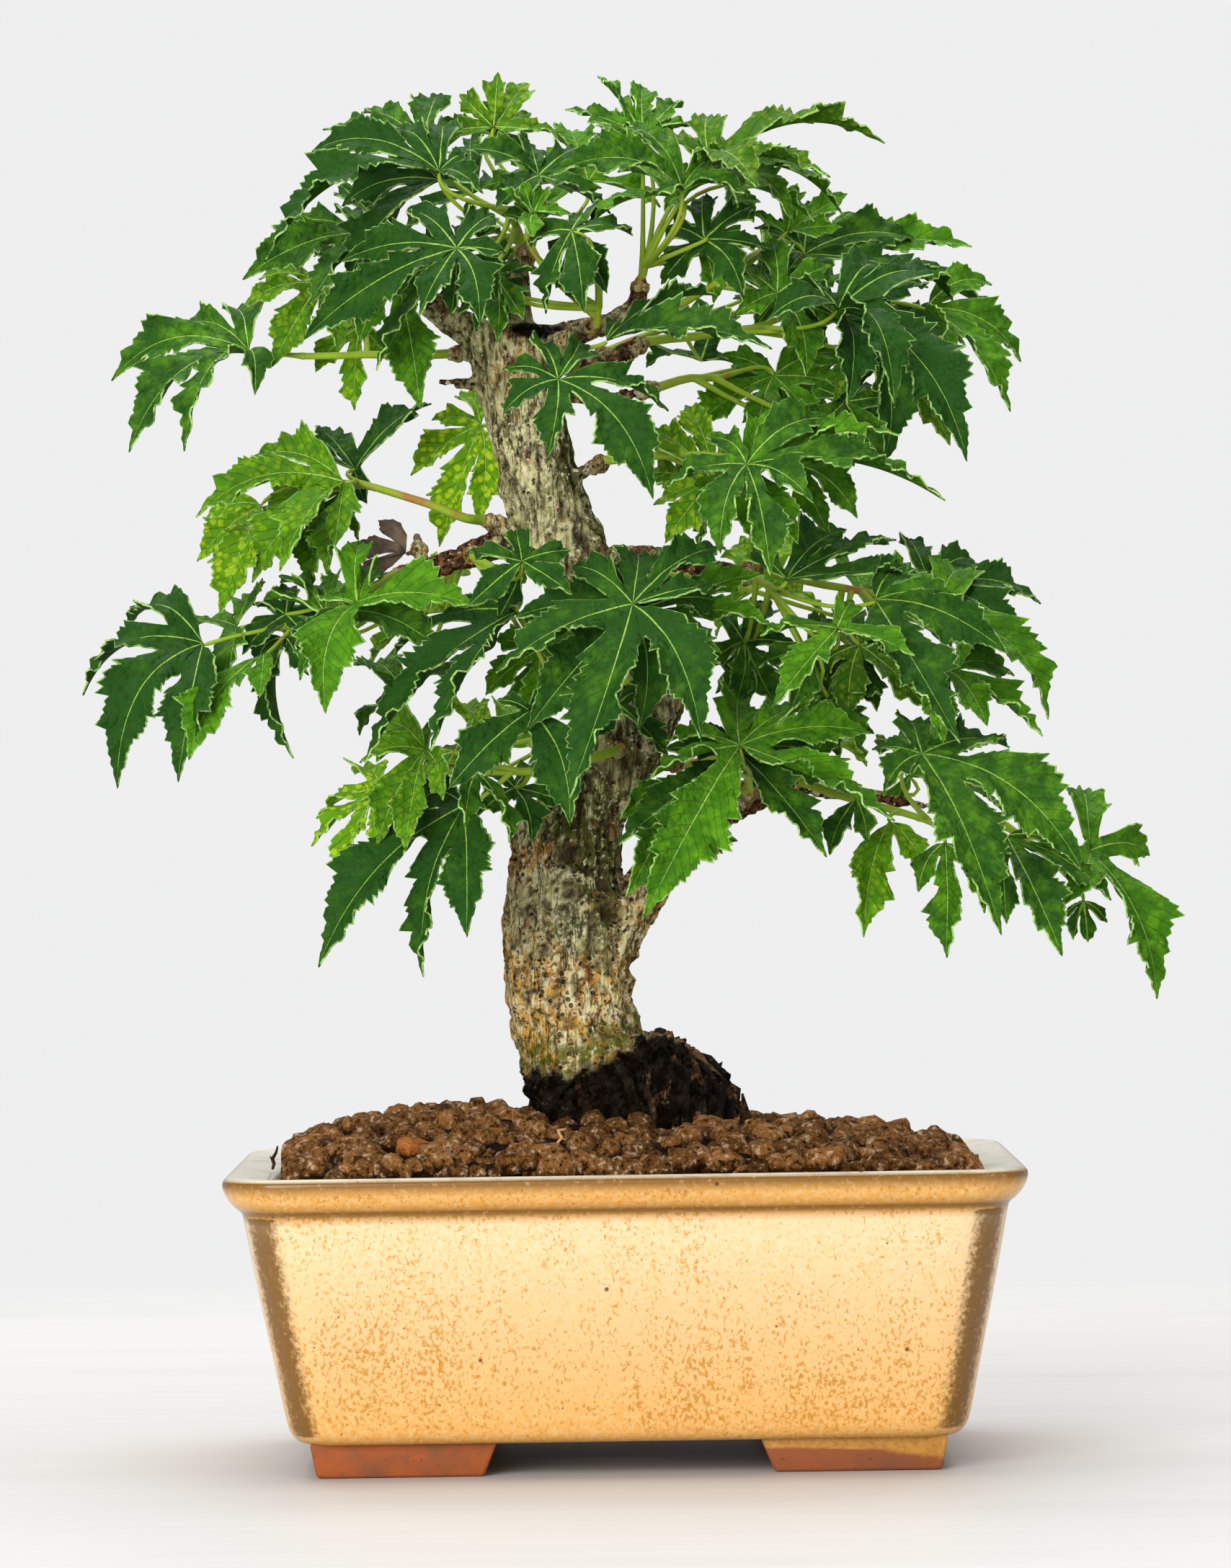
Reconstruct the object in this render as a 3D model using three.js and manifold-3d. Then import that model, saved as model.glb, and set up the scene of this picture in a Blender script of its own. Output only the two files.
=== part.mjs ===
// A Japanese maple grown as a bonsai, standing in a glazed rectangular pot.
// Millimetres, +Z up. The origin is on the ground under the middle of the pot, the long sides
// of the pot run along X, and the front of the tree faces -Y.

import * as THREE from "three";
import { mergeVertices } from "three/addons/utils/BufferGeometryUtils.js";
import Module from "manifold-3d";

const wasm = await Module();
wasm.setup();

// Pot
const RIM_HALF_LENGTH = 70.8;
const LENGTH_LESS_WIDTH = 18;
const RIM_HEIGHT = 53.5;
const FOOT_HEIGHT = 5.9;
const FLOOR_TOP = 11;
const CAVITY_TOP_HALF_LENGTH = 61;
const CAVITY_FLOOR_HALF_LENGTH = 52.5;
const CORNER_POINTS = 5;
const FOOT_OUTER = 56.2;
const FOOT_INNER = 23;
const FOOT_SLANT = 2.6;
const FOOT_LEG_THICKNESS = 11;
const FOOT_SIDE_LENGTH = 24;
const DRAIN_OFFSET = 28;
const DRAIN_RADIUS = 6;

// Drain screens
const SCREEN_HALF = 9;
const SCREEN_THICKNESS = 1.2;
const SCREEN_HOLES = 2;
const SCREEN_BAR = 1.6;

// Soil
const CLEARANCE = 0.3;
const SOIL_EDGE_HEIGHT = 52.9;
const SOIL_MOUND = 7.7;
const SOIL_LEAN = 0.4;
const GRAIN_STEP = 7;
const GRAIN_RELIEF = 1.3;

// Tree
const EYE = new THREE.Vector3(-1.25, -1200, 121.5);
const LEAF_THICKNESS = 0.62;
const STALK_HALF_WIDTH = 0.6;
const STALK_END = 0.5;
const STALK_SPACING = 1.9;
const STEM_RADIUS = 0.9;
const STEM_COLLAR = 1.4;
const LOBE_HALF_WIDTH = 0.24;
const BASE_LENGTH = 2.6;
const PLAIN_DEPTH = 10;
const SINUS = 0.36;
const EDGE_LIFT = 0.22;
const LONG_LOBE = 24;
// Places along a lobe where its midrib bends, and its outline as [place along, share of its width]
const LONG_RIB = [0.42, 0.72];
const SHORT_RIB = [0.55];
const LONG_OUTLINE = [[0.5, 1], [0.63, 0.62], [0.72, 0.72]];
const SHORT_OUTLINE = [[0.58, 1]];
const OUTER_EDGE = [0.2, 0.5];
const LEAST_WIDTH = 0.3;
const SHARE_OF_GAP = 0.44;
// Tilts behind the blade that a stalk may leave at, and how narrow a crowded leaf's lobes may get
const STALK_TILTS = [0, 0.4, 0.8];
const LOBE_WIDTHS = [1, 0.8, 0.6, 0.4];
const STALK_STEPS = [0, 0.3, 0.65, 1];

// The tree is described as it is seen from the front. A point [x, z, y] lies at depth y (the front
// is negative) on the line of sight through [x, z] in the upright plane through the pot's middle.
function seen([x, z, y]) {
  const scale = 1 + y / -EYE.y;
  return new THREE.Vector3(EYE.x + (x - EYE.x) * scale, y, EYE.z + (z - EYE.z) * scale);
}

// The trunk, from the soil up: [x, z, y, radius]
const TRUNK = [
  [-4.6, 50, 0, 12.2], [-5.6, 65, 0, 12], [-7.3, 72, 0, 12], [-10, 82, 0, 11.6], [-10.8, 93, 0, 11.2],
  [-10, 103, 0, 10.5], [-9, 113, 0, 10], [-5, 120, 0, 9.4], [-1, 127, 0, 8.9], [3, 134, 0, 8.5],
  [5, 141, 0, 8.3], [3, 148, 0, 8.3], [-2, 155, 0, 8.5], [-8, 161, 0, 8.6], [-12, 171, 0, 7.9],
  [-15, 183, 0, 7.4], [-17.5, 194, 0, 7.8], [-19, 205, 0, 8.6],
];

// Branches, twigs and the spurs that carry the sprays: [x, z, y, radius]
const BRANCHES = {
  low_right: [[-6.4, 85, 0, 7.2], [-2.4, 92, 0, 5.8], [2, 99, -1, 4.8], [7, 106, -2, 4.2], [13, 113, -3, 3.9],
    [21, 118, -4, 3.7], [27, 120, -5, 3.4], [31, 121, -5, 2.6]],
  low_right_end: [[27, 120, -4, 1.6], [36, 119.6, 0, 1.3], [48, 118, -1, 1.2], [60, 116, -5, 1.1]],
  low_right_spur: [[23, 118, -5, 2], [23.4, 119.4, -9, 1.4]],
  left: [[-15, 166, -1, 3.6], [-22, 165, -8, 3], [-28, 163, -10, 2.4], [-34, 161, -10.4, 2],
    [-38.6, 160.4, -12.6, 1.6]],
  left_fork: [[-32, 162, -9, 1.4], [-41, 159, -5, 1.2]],
  left_spur: [[-26, 164, -10, 1.6], [-26, 163.4, -14.5, 1.3]],
  left_bud: [[-35, 161.4, -10, 1.3], [-35.6, 164.4, -7.6, 1]],
  left_shoot: [[-16, 168, -3, 2.2], [-22.6, 169.4, -6.8, 1.4]],
  right: [[0, 162, 0, 3.4], [9, 162, -4, 2.3], [18, 160, -6, 2], [23.6, 158.8, -9.4, 1.5]],
  right_fork: [[16, 160, -5, 1.8], [25, 160, -0.6, 1.3]],
  front_bud: [[5, 141, 0, 2.6], [9.6, 142, -12.6, 1.7]],
  lower_front_bud: [[0, 128, 0, 2.4], [-0.4, 127.6, -12, 1.6]],
  right_twig: [[-9, 177, -1, 2], [-4, 179, -3, 1.6], [-2.6, 179.6, -3.7, 1.4]],
  upper_right_twig: [[-11, 193, 2, 1.8], [-1, 191, 4, 1.5], [6.6, 193, 4.8, 1.3]],
  shoulder: [[-11, 199, 1, 3], [-5, 197, 3, 2.4], [1, 199, 3, 2.1], [4.8, 201, 5, 1.7]],
  shoulder_back: [[-2, 198, 3, 1.8], [-1.8, 199.4, 10.6, 1.3]],
  top_right: [[-13, 202, 0, 3], [-6, 203.6, 0, 2.6], [0, 205, 0, 2.3], [4.6, 208, 0, 2.1],
    [5.1, 211.4, 0, 1.7]],
  top_right_bud: [[0, 205, -1, 1.8], [2.6, 204.6, -5.6, 1.3]],
  top_front_bud: [[-6, 203.6, -1, 1.8], [-3.4, 204.6, -8.2, 1.4]],
  front_spur: [[-14, 202, -2, 2.4], [-8.2, 202.4, -12.4, 1.6]],
  top_left: [[-17, 203, 0, 3], [-16.8, 212, -0.6, 2.2], [-16.4, 218, -1, 1.7]],
  top_left_fork: [[-16.8, 212, 0, 1.8], [-21, 216, 4, 1.4], [-28.4, 217.8, 5.8, 1.1]],
  top_left_back: [[-16.8, 214, 0, 1.6], [-15.2, 217.2, 3.6, 1.2]],
  top_back: [[-16.8, 208, 1, 2], [-16.9, 211, 9.6, 1.3]],
  cut_stub: [[-19, 200, -1, 4], [-29, 206, -2, 3], [-33.4, 209.4, -2, 2.7]],
  dead_stub: [[-21, 194, -1, 1.6], [-31.6, 195, -2, 0.9]],
  left_bough: [[-20, 200, 1, 1.8], [-28, 200, 0, 1.3]],
  left_back_bud: [[-17, 185, 0, 2], [-19.4, 185.6, 11.6, 1.3]],
  left_low_back: [[-11, 168, 2, 2.4], [-19, 168, 11.5, 1.4]],
  right_mid_back: [[-3, 157, 2, 2.4], [1.8, 159, 11.4, 1.5]],
  right_low_back: [[0, 127, 2, 2.4], [10, 124.8, 11.4, 1.5]],
  left_lowest_back: [[3, 132, 2, 2.4], [-1.2, 132, 13.4, 1.5]],
  dead_twig_right: [[-5, 164, -1, 2], [0, 163, -6, 1.1], [3, 164, -8, 0.7]],
};

// The flare of old roots at the foot of the trunk: [x, z, y, half length, half depth]
const ROOT_FLARE = [
  [-3, 20, 0, 17, 14], [1, 52, 0, 18.6, 16], [2, 61, 0, 19, 16], [0.2, 68.5, 0, 17.4, 14.8],
  [-4.5, 76, 0, 12.4, 12.2],
];

// Every spray: the stem that leaves the wood, and its leaves, each as the hub where the lobes
// meet, the arch of the lobes and the tips of the lobes in order, clockwise from the front.
const SPRAYS = {
  crown_left: {
    from: "top_left",
    stem: [[-18, 226, -6]],
    leaves: [
      [[-31, 233, -14], 0.30, [[-63, 217, -24], [-54, 237, -4], [-40, 239, 0],
        [-30, 241, 2], [-25, 236, -10], [-23, 229, -22]]],
      [[-34, 238, 6], 0.16, [[-52, 241, 8], [-45, 244, 16], [-31, 247, 22], [-27, 241, 16]]],
      [[-28, 219, -30], 0.16, [[-24, 205, -42], [-35, 207, -40], [-56, 203, -40], [-49, 217, -32],
        [-37, 226, -20], [-21, 225, -20], [-19, 218, -30]]],
      [[-39, 214, -12], 0.12, [[-32, 211, -18], [-35, 190, -24], [-46, 202, -18], [-50, 212, -4]]],
    ],
  },
  crown_top: {
    from: "top_left_back",
    stem: [[-12, 227, 8]],
    leaves: [
      [[-21, 241, 16], 0.10, [[-32, 240, 26], [-27, 247, 24], [-20, 251, 20],
        [-15, 249, 26], [-9, 240, 14]]],
      [[-13, 232, -4], 0.16, [[-21, 226, -16], [-26, 237, -8], [-15, 238, 8],
        [-5, 237, 6], [0, 225, -9]]],
    ],
  },
  crown_front: {
    from: "top_front_bud",
    stem: [[-1, 211, -12]],
    leaves: [
      [[-7, 222, -22], 0.16, [[-5, 207, -34], [-12, 207, -26], [-15, 219, -16],
        [-2, 225, -10], [4, 221, -16]]],
    ],
  },
  crown_far_left: {
    from: "top_left_fork",
    stem: [[-38, 220, 8]],
    leaves: [
      [[-45, 222, -2], 0.16, [[-55, 209, -20], [-67, 214, -14], [-59, 224, 0], [-50, 226, 8]]],
      [[-53, 213, 0], 0.14, [[-50, 201, -10], [-62, 198, -8], [-67, 209, -4], [-64, 214, 2]]],
      [[-43, 225, 12], 0.10, [[-49, 231, 20], [-45, 232, 30], [-38, 230, 22]]],
    ],
  },
  crown_right: {
    from: "top_right",
    stem: [[8, 221, -1]],
    leaves: [
      [[13, 229, -14], 0.30, [[8, 228, -22], [-11, 232, -26], [2, 241, -4],
        [18, 234, -6], [25, 228, -20]]],
      [[6, 239, 6], 0.12, [[-8, 244, 8], [-2, 250, 16], [6, 248, 20],
        [12, 245, 20], [15, 241, 12]]],
      [[18, 233, 0], 0.28, [[8, 239, 4], [18, 242, 12], [50, 237, 6],
        [40, 231, -12], [27, 229, -24]]],
      [[21, 230, 14], 0.14, [[26, 235, 22], [37, 223, 10], [26, 223, 4]]],
    ],
  },
  crown_right_far: {
    from: "top_right_bud",
    stem: [[12, 208, -3], [24, 215, 6]],
    leaves: [
      [[32, 221, 14], 0.10, [[25, 225, 14], [34, 230, 20], [43, 228, 20], [42, 222, 8]]],
      [[35, 217, 18], 0.16, [[39, 226, 30], [56, 219, 28], [72, 204, 20],
        [39, 211, 10], [27, 214, 8], [26, 222, 18]]],
    ],
  },
  upper_right: {
    from: "shoulder",
    stem: [[19, 203, 4], [27, 204, 0]],
    leaves: [
      [[41, 207, -14], 0.34, [[28, 205, -22], [33, 211, -8], [49, 213, 2],
        [62, 208, 4], [64, 179, -24], [51, 189, -34]]],
      [[57, 207, 2], 0.20, [[69, 211, 10], [74, 197, 6], [72, 188, -8], [62, 194, -12]]],
      [[48, 197, 2], 0.20, [[58, 198, 10], [61, 182, -4], [50, 186, -6], [40, 190, -4]]],
    ],
  },
  upper_right_under: {
    from: "upper_right_twig",
    stem: [[14, 195, 6], [20, 195, 8]],
    leaves: [
      [[29, 195, 12], 0.08, [[43, 199, 26], [46, 191, 18], [37, 185, 6],
        [26, 184, 0], [14, 185, 2], [19, 199, 14]]],
    ],
  },
  front_upper: {
    from: "front_spur",
    stem: [[-6, 200, -22]],
    leaves: [
      [[-10, 195, -34], 0.18, [[10, 189, -34], [7, 173, -46], [-12, 181, -44], [-20, 189, -40],
        [-20, 197, -32], [-15, 202, -22], [-6, 202, -20]]],
      [[-1, 202, -20], 0.16, [[4, 206, -12], [19, 210, -10], [29, 200, -32]]],
    ],
  },
  right_mid: {
    from: "right_twig",
    stem: [[6, 181, -12], [15, 181, -20]],
    leaves: [
      [[24, 179, -38], 0.16, [[40, 187, -26], [60, 172, -42], [36, 172, -50], [28, 159, -54],
        [19, 163, -52], [9, 175, -42], [17, 184, -28]]],
      [[18, 176, -22], 0.12, [[9, 165, -26], [7, 172, -20], [6, 186, -8],
        [13, 190, -4], [20, 184, -8]]],
      [[32, 179, -18], 0.20, [[47, 179, -10], [44, 169, -26], [39, 166, -24]]],
    ],
  },
  right_bough: {
    from: "right",
    stem: [[28, 157, -16]],
    leaves: [
      [[31, 158, -24], 0.10, [[25, 164, -14], [42, 167, -6], [51, 165, -10], [57, 159, -20]]],
      [[40, 149, -42], 0.14, [[28, 135, -54], [26, 148, -42], [43, 154, -34], [54, 144, -52]]],
      [[47, 154, -30], 0.18, [[53, 160, -20], [63, 153, -32], [71, 144, -44], [62, 128, -54]]],
    ],
  },
  right_bough_far: {
    from: "right_fork",
    stem: [[38, 157, -2], [48, 155, -6]],
    leaves: [
      [[57, 156, -6], 0.24, [[53, 165, 6], [65, 161, 8], [77, 153, 2], [74, 144, -12]]],
      [[58, 151, -16], 0.30, [[64, 158, 2], [78, 132, -18], [62, 141, -32]]],
      [[60, 141, -20], 0.12, [[72, 140, -8], [77, 129, -28], [67, 131, -36], [59, 128, -36]]],
      [[44, 146, -8], 0.14, [[42, 152, 4], [55, 143, -8], [57, 133, -18],
        [42, 132, -18], [34, 138, -12]]],
    ],
  },
  front_mid: {
    from: "front_bud",
    stem: [[9, 145, -28]],
    leaves: [
      [[3, 154, -48], 0.18, [[15, 129, -64], [-9, 119, -64], [-22, 142, -54], [-8, 161, -34],
        [4, 163, -26], [20, 164, -34], [20, 157, -44]]],
      [[10, 152, -26], 0.10, [[27, 159, -28], [28, 150, -34], [19, 145, -32]]],
      [[0, 136, -22], 0.08, [[5, 138, -16], [9, 126, -26], [-4, 130, -26]]],
    ],
  },
  left_front: {
    from: "left_spur",
    stem: [[-22, 161, -26]],
    leaves: [
      [[-17, 162, -42], 0.10, [[-27, 154, -50], [-27, 164, -42], [-18, 168, -34],
        [-8, 164, -40], [-8, 156, -48]]],
      [[-18, 153, -36], 0.16, [[-34, 128, -52], [-46, 126, -40], [-41, 145, -22], [-29, 154, -28]]],
      [[-16, 135, -46], 0.12, [[-9, 114, -60], [-31, 121, -56], [-22, 137, -48], [-12, 140, -46]]],
    ],
  },
  left_low: {
    from: "left",
    stem: [[-44, 158, -22]],
    leaves: [
      [[-47, 155, -34], 0.18, [[-54, 156, -28], [-46, 166, -22], [-43, 162, -22],
        [-25, 154, -46], [-53, 135, -50]]],
    ],
  },
  left_low_far: {
    from: "left_fork",
    stem: [[-51, 153, -8], [-60, 151, -12]],
    leaves: [
      [[-75, 148, -18], 0.34, [[-80, 123, -34], [-91, 122, -28], [-97, 139, -15], [-89, 151, -4]]],
      [[-64, 146, -22], 0.12, [[-65, 138, -34], [-78, 127, -38]]],
      [[-60, 149, -14], 0.30, [[-56, 142, -20], [-59, 127, -22], [-64, 142, -8]]],
      [[-69, 151, -8], 0.16, [[-71, 139, -22], [-77, 151, 4], [-65, 157, 6]]],
    ],
  },
  left_bough: {
    from: "left_bough",
    stem: [[-39, 200, -2], [-56, 200, -4]],
    leaves: [
      [[-66, 201, -6], 0.30, [[-65, 193, -16], [-78, 183, -26], [-88, 183, -22],
        [-91, 196, -6], [-81, 203, 6], [-69, 208, 8]]],
      [[-46, 205, 6], 0.10, [[-41, 199, 2], [-47, 190, 0], [-54, 197, 4], [-55, 206, 14]]],
    ],
  },
  left_mid: {
    from: "left_shoot",
    stem: [[-27, 170, -12], [-34, 173, -14], [-47, 177, -12]],
    leaves: [
      [[-49, 177, -18], 0.22, [[-51, 165, -28], [-61, 161, -36], [-66, 159, -14],
        [-76, 171, -18], [-67, 181, -6]]],
      [[-47, 179, 0], 0.14, [[-61, 185, 4], [-54, 187, 12], [-33, 191, 10], [-45, 173, -6]]],
      [[-64, 173, -2], 0.14, [[-72, 153, -16], [-76, 163, -6], [-74, 171, 4]]],
    ],
  },
  back_left_leaf: {
    from: "left_back_bud",
    stem: [[-20, 187, 17]],
    leaves: [
      [[-24, 187, 18], 0.12, [[-25, 169, 8], [-32, 165, 10], [-37, 178, 16],
        [-33, 188, 24], [-27, 193, 28]]],
    ],
  },
  low_left: {
    from: "lower_front_bud",
    stem: [[-12, 124, -24], [-23, 124, -30]],
    leaves: [
      [[-35, 128, -28], 0.14, [[-32, 119, -42], [-39, 110, -44], [-44, 111, -36],
        [-47, 126, -24], [-43, 133, -14]]],
      [[-43, 121, -14], 0.14, [[-44, 110, -28], [-51, 103, -24], [-56, 111, -18],
        [-55, 116, -12], [-48, 124, 0]]],
      [[-28, 118, -32], 0.20, [[-28, 94, -48], [-36, 87, -36], [-55, 89, -42], [-37, 117, -16]]],
    ],
  },
  right_low: {
    from: "low_right_spur",
    stem: [[23, 125, -22]],
    leaves: [
      [[22, 128, -38], 0.16, [[4, 97, -58], [5, 122, -46], [8, 129, -34], [22, 137, -16],
        [38, 135, -24], [46, 130, -36], [50, 114, -54]]],
      [[13, 122, -24], 0.10, [[1, 101, -34], [0, 115, -28]]],
    ],
  },
  right_low_far: {
    from: "low_right",
    stem: [[43, 118, -10], [56, 114, -14]],
    leaves: [
      [[55, 126, -34], 0.20, [[46, 127, -30], [53, 132, -18], [71, 127, -22],
        [84, 104, -44], [69, 93, -54], [48, 119, -42]]],
      [[49, 114, -18], 0.12, [[55, 105, -22], [44, 93, -28]]],
      [[59, 110, -24], 0.12, [[66, 97, -34], [59, 89, -36], [54, 101, -30]]],
    ],
  },
  right_low_end: {
    from: "low_right_end",
    stem: [[70, 113, -12]],
    leaves: [
      [[85, 108, -18], 0.26, [[80, 98, -34], [84, 119, -2], [96, 107, -8], [97, 81, -22]]],
      [[70, 111, -30], 0.14, [[82, 108, -30], [89, 99, -30], [80, 89, -46], [70, 95, -42]]],
    ],
  },
  back_top: {
    from: "top_back",
    stem: [[-16, 221, 26]],
    leaves: [
      [[-25, 229, 40], 0.20, [[-38, 221, 47], [-37, 233, 55], [-25, 239, 59], [-17, 231, 54]]],
      [[-4, 231, 38], 0.20, [[-12, 225, 40], [-8, 240, 55], [7, 238, 58], [9, 226, 47]]],
      [[-38, 215, 36], 0.20, [[-50, 207, 43], [-54, 218, 50], [-46, 225, 55]]],
    ],
  },
  back_right: {
    from: "shoulder_back",
    stem: [[14, 206, 34]],
    leaves: [
      [[27, 211, 43], 0.20, [[19, 214, 54], [30, 220, 61], [43, 211, 58], [36, 200, 47]]],
      [[45, 204, 30], 0.20, [[57, 211, 47], [64, 200, 43], [43, 198, 24]]],
      [[16, 198, 44], 0.20, [[6, 197, 54], [20, 206, 65], [27, 193, 54]]],
    ],
  },
  back_left: {
    from: "left_low_back",
    stem: [[-29, 161, 30]],
    leaves: [
      [[-34, 153, 38], 0.20, [[-45, 143, 44], [-42, 157, 54], [-31, 161, 61], [-22, 149, 51]]],
      [[-39, 139, 20], 0.20, [[-42, 128, 14], [-47, 131, 26], [-45, 143, 40], [-29, 140, 34]]],
      [[-50, 149, 16], 0.20, [[-58, 143, 16], [-60, 152, 28], [-51, 159, 34], [-39, 152, 32]]],
    ],
  },
  back_mid_right: {
    from: "right_mid_back",
    stem: [[18, 159, 30]],
    leaves: [
      [[26, 157, 43], 0.20, [[18, 148, 50], [21, 164, 58], [34, 164, 61], [38, 151, 51]]],
      [[46, 152, 24], 0.20, [[44, 140, 20], [42, 161, 43], [55, 158, 46], [61, 145, 36]]],
    ],
  },
  back_low_right: {
    from: "right_low_back",
    stem: [[22, 127, 28]],
    leaves: [
      [[32, 129, 36], 0.20, [[26, 122, 43], [29, 135, 54], [42, 135, 55], [45, 124, 46]]],
      [[53, 122, 16], 0.20, [[49, 115, 14], [49, 128, 34], [64, 127, 40], [70, 115, 26]]],
    ],
  },
  back_low_left: {
    from: "left_lowest_back",
    stem: [[-11, 131, 30]],
    leaves: [
      [[-23, 129, 36], 0.20, [[-32, 122, 43], [-29, 136, 52], [-16, 137, 55], [-12, 127, 47]]],
      [[-34, 123, 12], 0.20, [[-36, 114, 8], [-42, 119, 18], [-40, 131, 30], [-27, 129, 32]]],
    ],
  },
};

// A dead leaf, curled and still held by its twig
const DRIED_LEAF = {
  from: "left_bud",
  stem: [[-36, 167, -5]],
  leaves: [
    [[-38, 164, -6], 0.12, [[-47, 161, -2], [-48, 166, -8], [-43, 170, -4]]],
  ],
};

const UP = new THREE.Vector3(0, 0, 1);

function material(color, roughness, metalness = 0) {
  return new THREE.MeshStandardMaterial({ color, roughness, metalness });
}

const MATERIALS = {
  glaze: material("#d8ab6a", 0.22),
  soil: material("#5c3420", 0.95),
  screen: material("#1d1d1c", 0.7),
  bark: material("#7d6f58", 0.92),
  leaf: material("#3f7a2a", 0.5),
  dryLeaf: material("#7b6a52", 0.85),
};

// Closed mesh data to a solid, turned outward if its faces point in
function solidFrom(points, faces) {
  const vertProperties = new Float32Array(points.flatMap((p) => [p.x, p.y, p.z]));
  const volume = faces.reduce((sum, [a, b, c]) => {
    return sum + points[a].dot(new THREE.Vector3().crossVectors(points[b], points[c]));
  }, 0);
  const outward = volume < 0 ? faces.map(([a, b, c]) => [a, c, b]) : faces;
  const triVerts = new Uint32Array(outward.flat());
  return new wasm.Manifold(new wasm.Mesh({ numProp: 3, vertProperties, triVerts }));
}

function solidFromGeometry(geometry) {
  const bare = geometry.clone();
  bare.deleteAttribute("normal");
  bare.deleteAttribute("uv");
  const merged = mergeVertices(bare, 1e-4);
  const place = merged.getAttribute("position");
  const points = [];
  for (let i = 0; i < place.count; i++) points.push(new THREE.Vector3().fromBufferAttribute(place, i));
  const index = Array.from(merged.index.array);
  const faces = [];
  for (let i = 0; i < index.length; i += 3) faces.push(index.slice(i, i + 3));
  return solidFrom(points, faces.filter(([a, b, c]) => a !== b && b !== c && a !== c));
}

function geometryFrom(solid) {
  const mesh = solid.getMesh();
  const geometry = new THREE.BufferGeometry();
  geometry.setAttribute("position", new THREE.BufferAttribute(new Float32Array(mesh.vertProperties), 3));
  geometry.setIndex(new THREE.BufferAttribute(new Uint32Array(mesh.triVerts), 1));
  geometry.computeVertexNormals();
  return geometry;
}

// The largest body of a solid, without the scraps that cutting leaves loose
function mainBody(solid) {
  const bodies = solid.decompose();
  return bodies.reduce((best, body) => (body.volume() > best.volume() ? body : best));
}

// A skin over rings that hold the same number of points, closed by a fan at each end
function loft(rings) {
  const count = rings[0].length;
  const points = rings.flat();
  const faces = [];
  for (let r = 0; r + 1 < rings.length; r++) {
    for (let i = 0; i < count; i++) {
      const a = r * count + i;
      const b = r * count + ((i + 1) % count);
      faces.push([a, b, b + count], [a, b + count, a + count]);
    }
  }
  const last = (rings.length - 1) * count;
  const middle = (ring) => ring.reduce((sum, p) => sum.add(p), new THREE.Vector3()).divideScalar(count);
  points.push(middle(rings[0]), middle(rings[rings.length - 1]));
  for (let i = 0; i < count; i++) {
    const next = (i + 1) % count;
    faces.push([points.length - 2, next, i], [points.length - 1, last + i, last + next]);
  }
  return solidFrom(points, faces);
}

// A rounded rectangle at a height, the sides of the pot being LENGTH_LESS_WIDTH apart in half size
function roundedRing(z, halfLength, corner, perCorner = CORNER_POINTS) {
  const halfWidth = halfLength - LENGTH_LESS_WIDTH;
  const ring = [];
  for (let quarter = 0; quarter < 4; quarter++) {
    const signX = quarter === 0 || quarter === 3 ? 1 : -1;
    const signY = quarter < 2 ? 1 : -1;
    for (let i = 0; i < perCorner; i++) {
      const angle = (quarter + i / (perCorner - 1)) * (Math.PI / 2);
      ring.push(new THREE.Vector3(
        signX * (halfLength - corner) + corner * Math.cos(angle),
        signY * (halfWidth - corner) + corner * Math.sin(angle),
        z,
      ));
    }
  }
  return ring;
}

// A bar of trapezium outline, one leg of a foot, standing on z = 0 and sunk into the pot's floor
function footLeg(outer, inner, thickness) {
  const outline = new THREE.Shape();
  outline.moveTo(outer - 1.2, 0);
  outline.lineTo(outer, FOOT_HEIGHT + 1);
  outline.lineTo(inner, FOOT_HEIGHT + 1);
  outline.lineTo(inner + FOOT_SLANT, 0);
  outline.closePath();
  const geometry = new THREE.ExtrudeGeometry(outline, { depth: thickness, bevelEnabled: false });
  geometry.rotateX(Math.PI / 2);
  return geometry;
}

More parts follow.
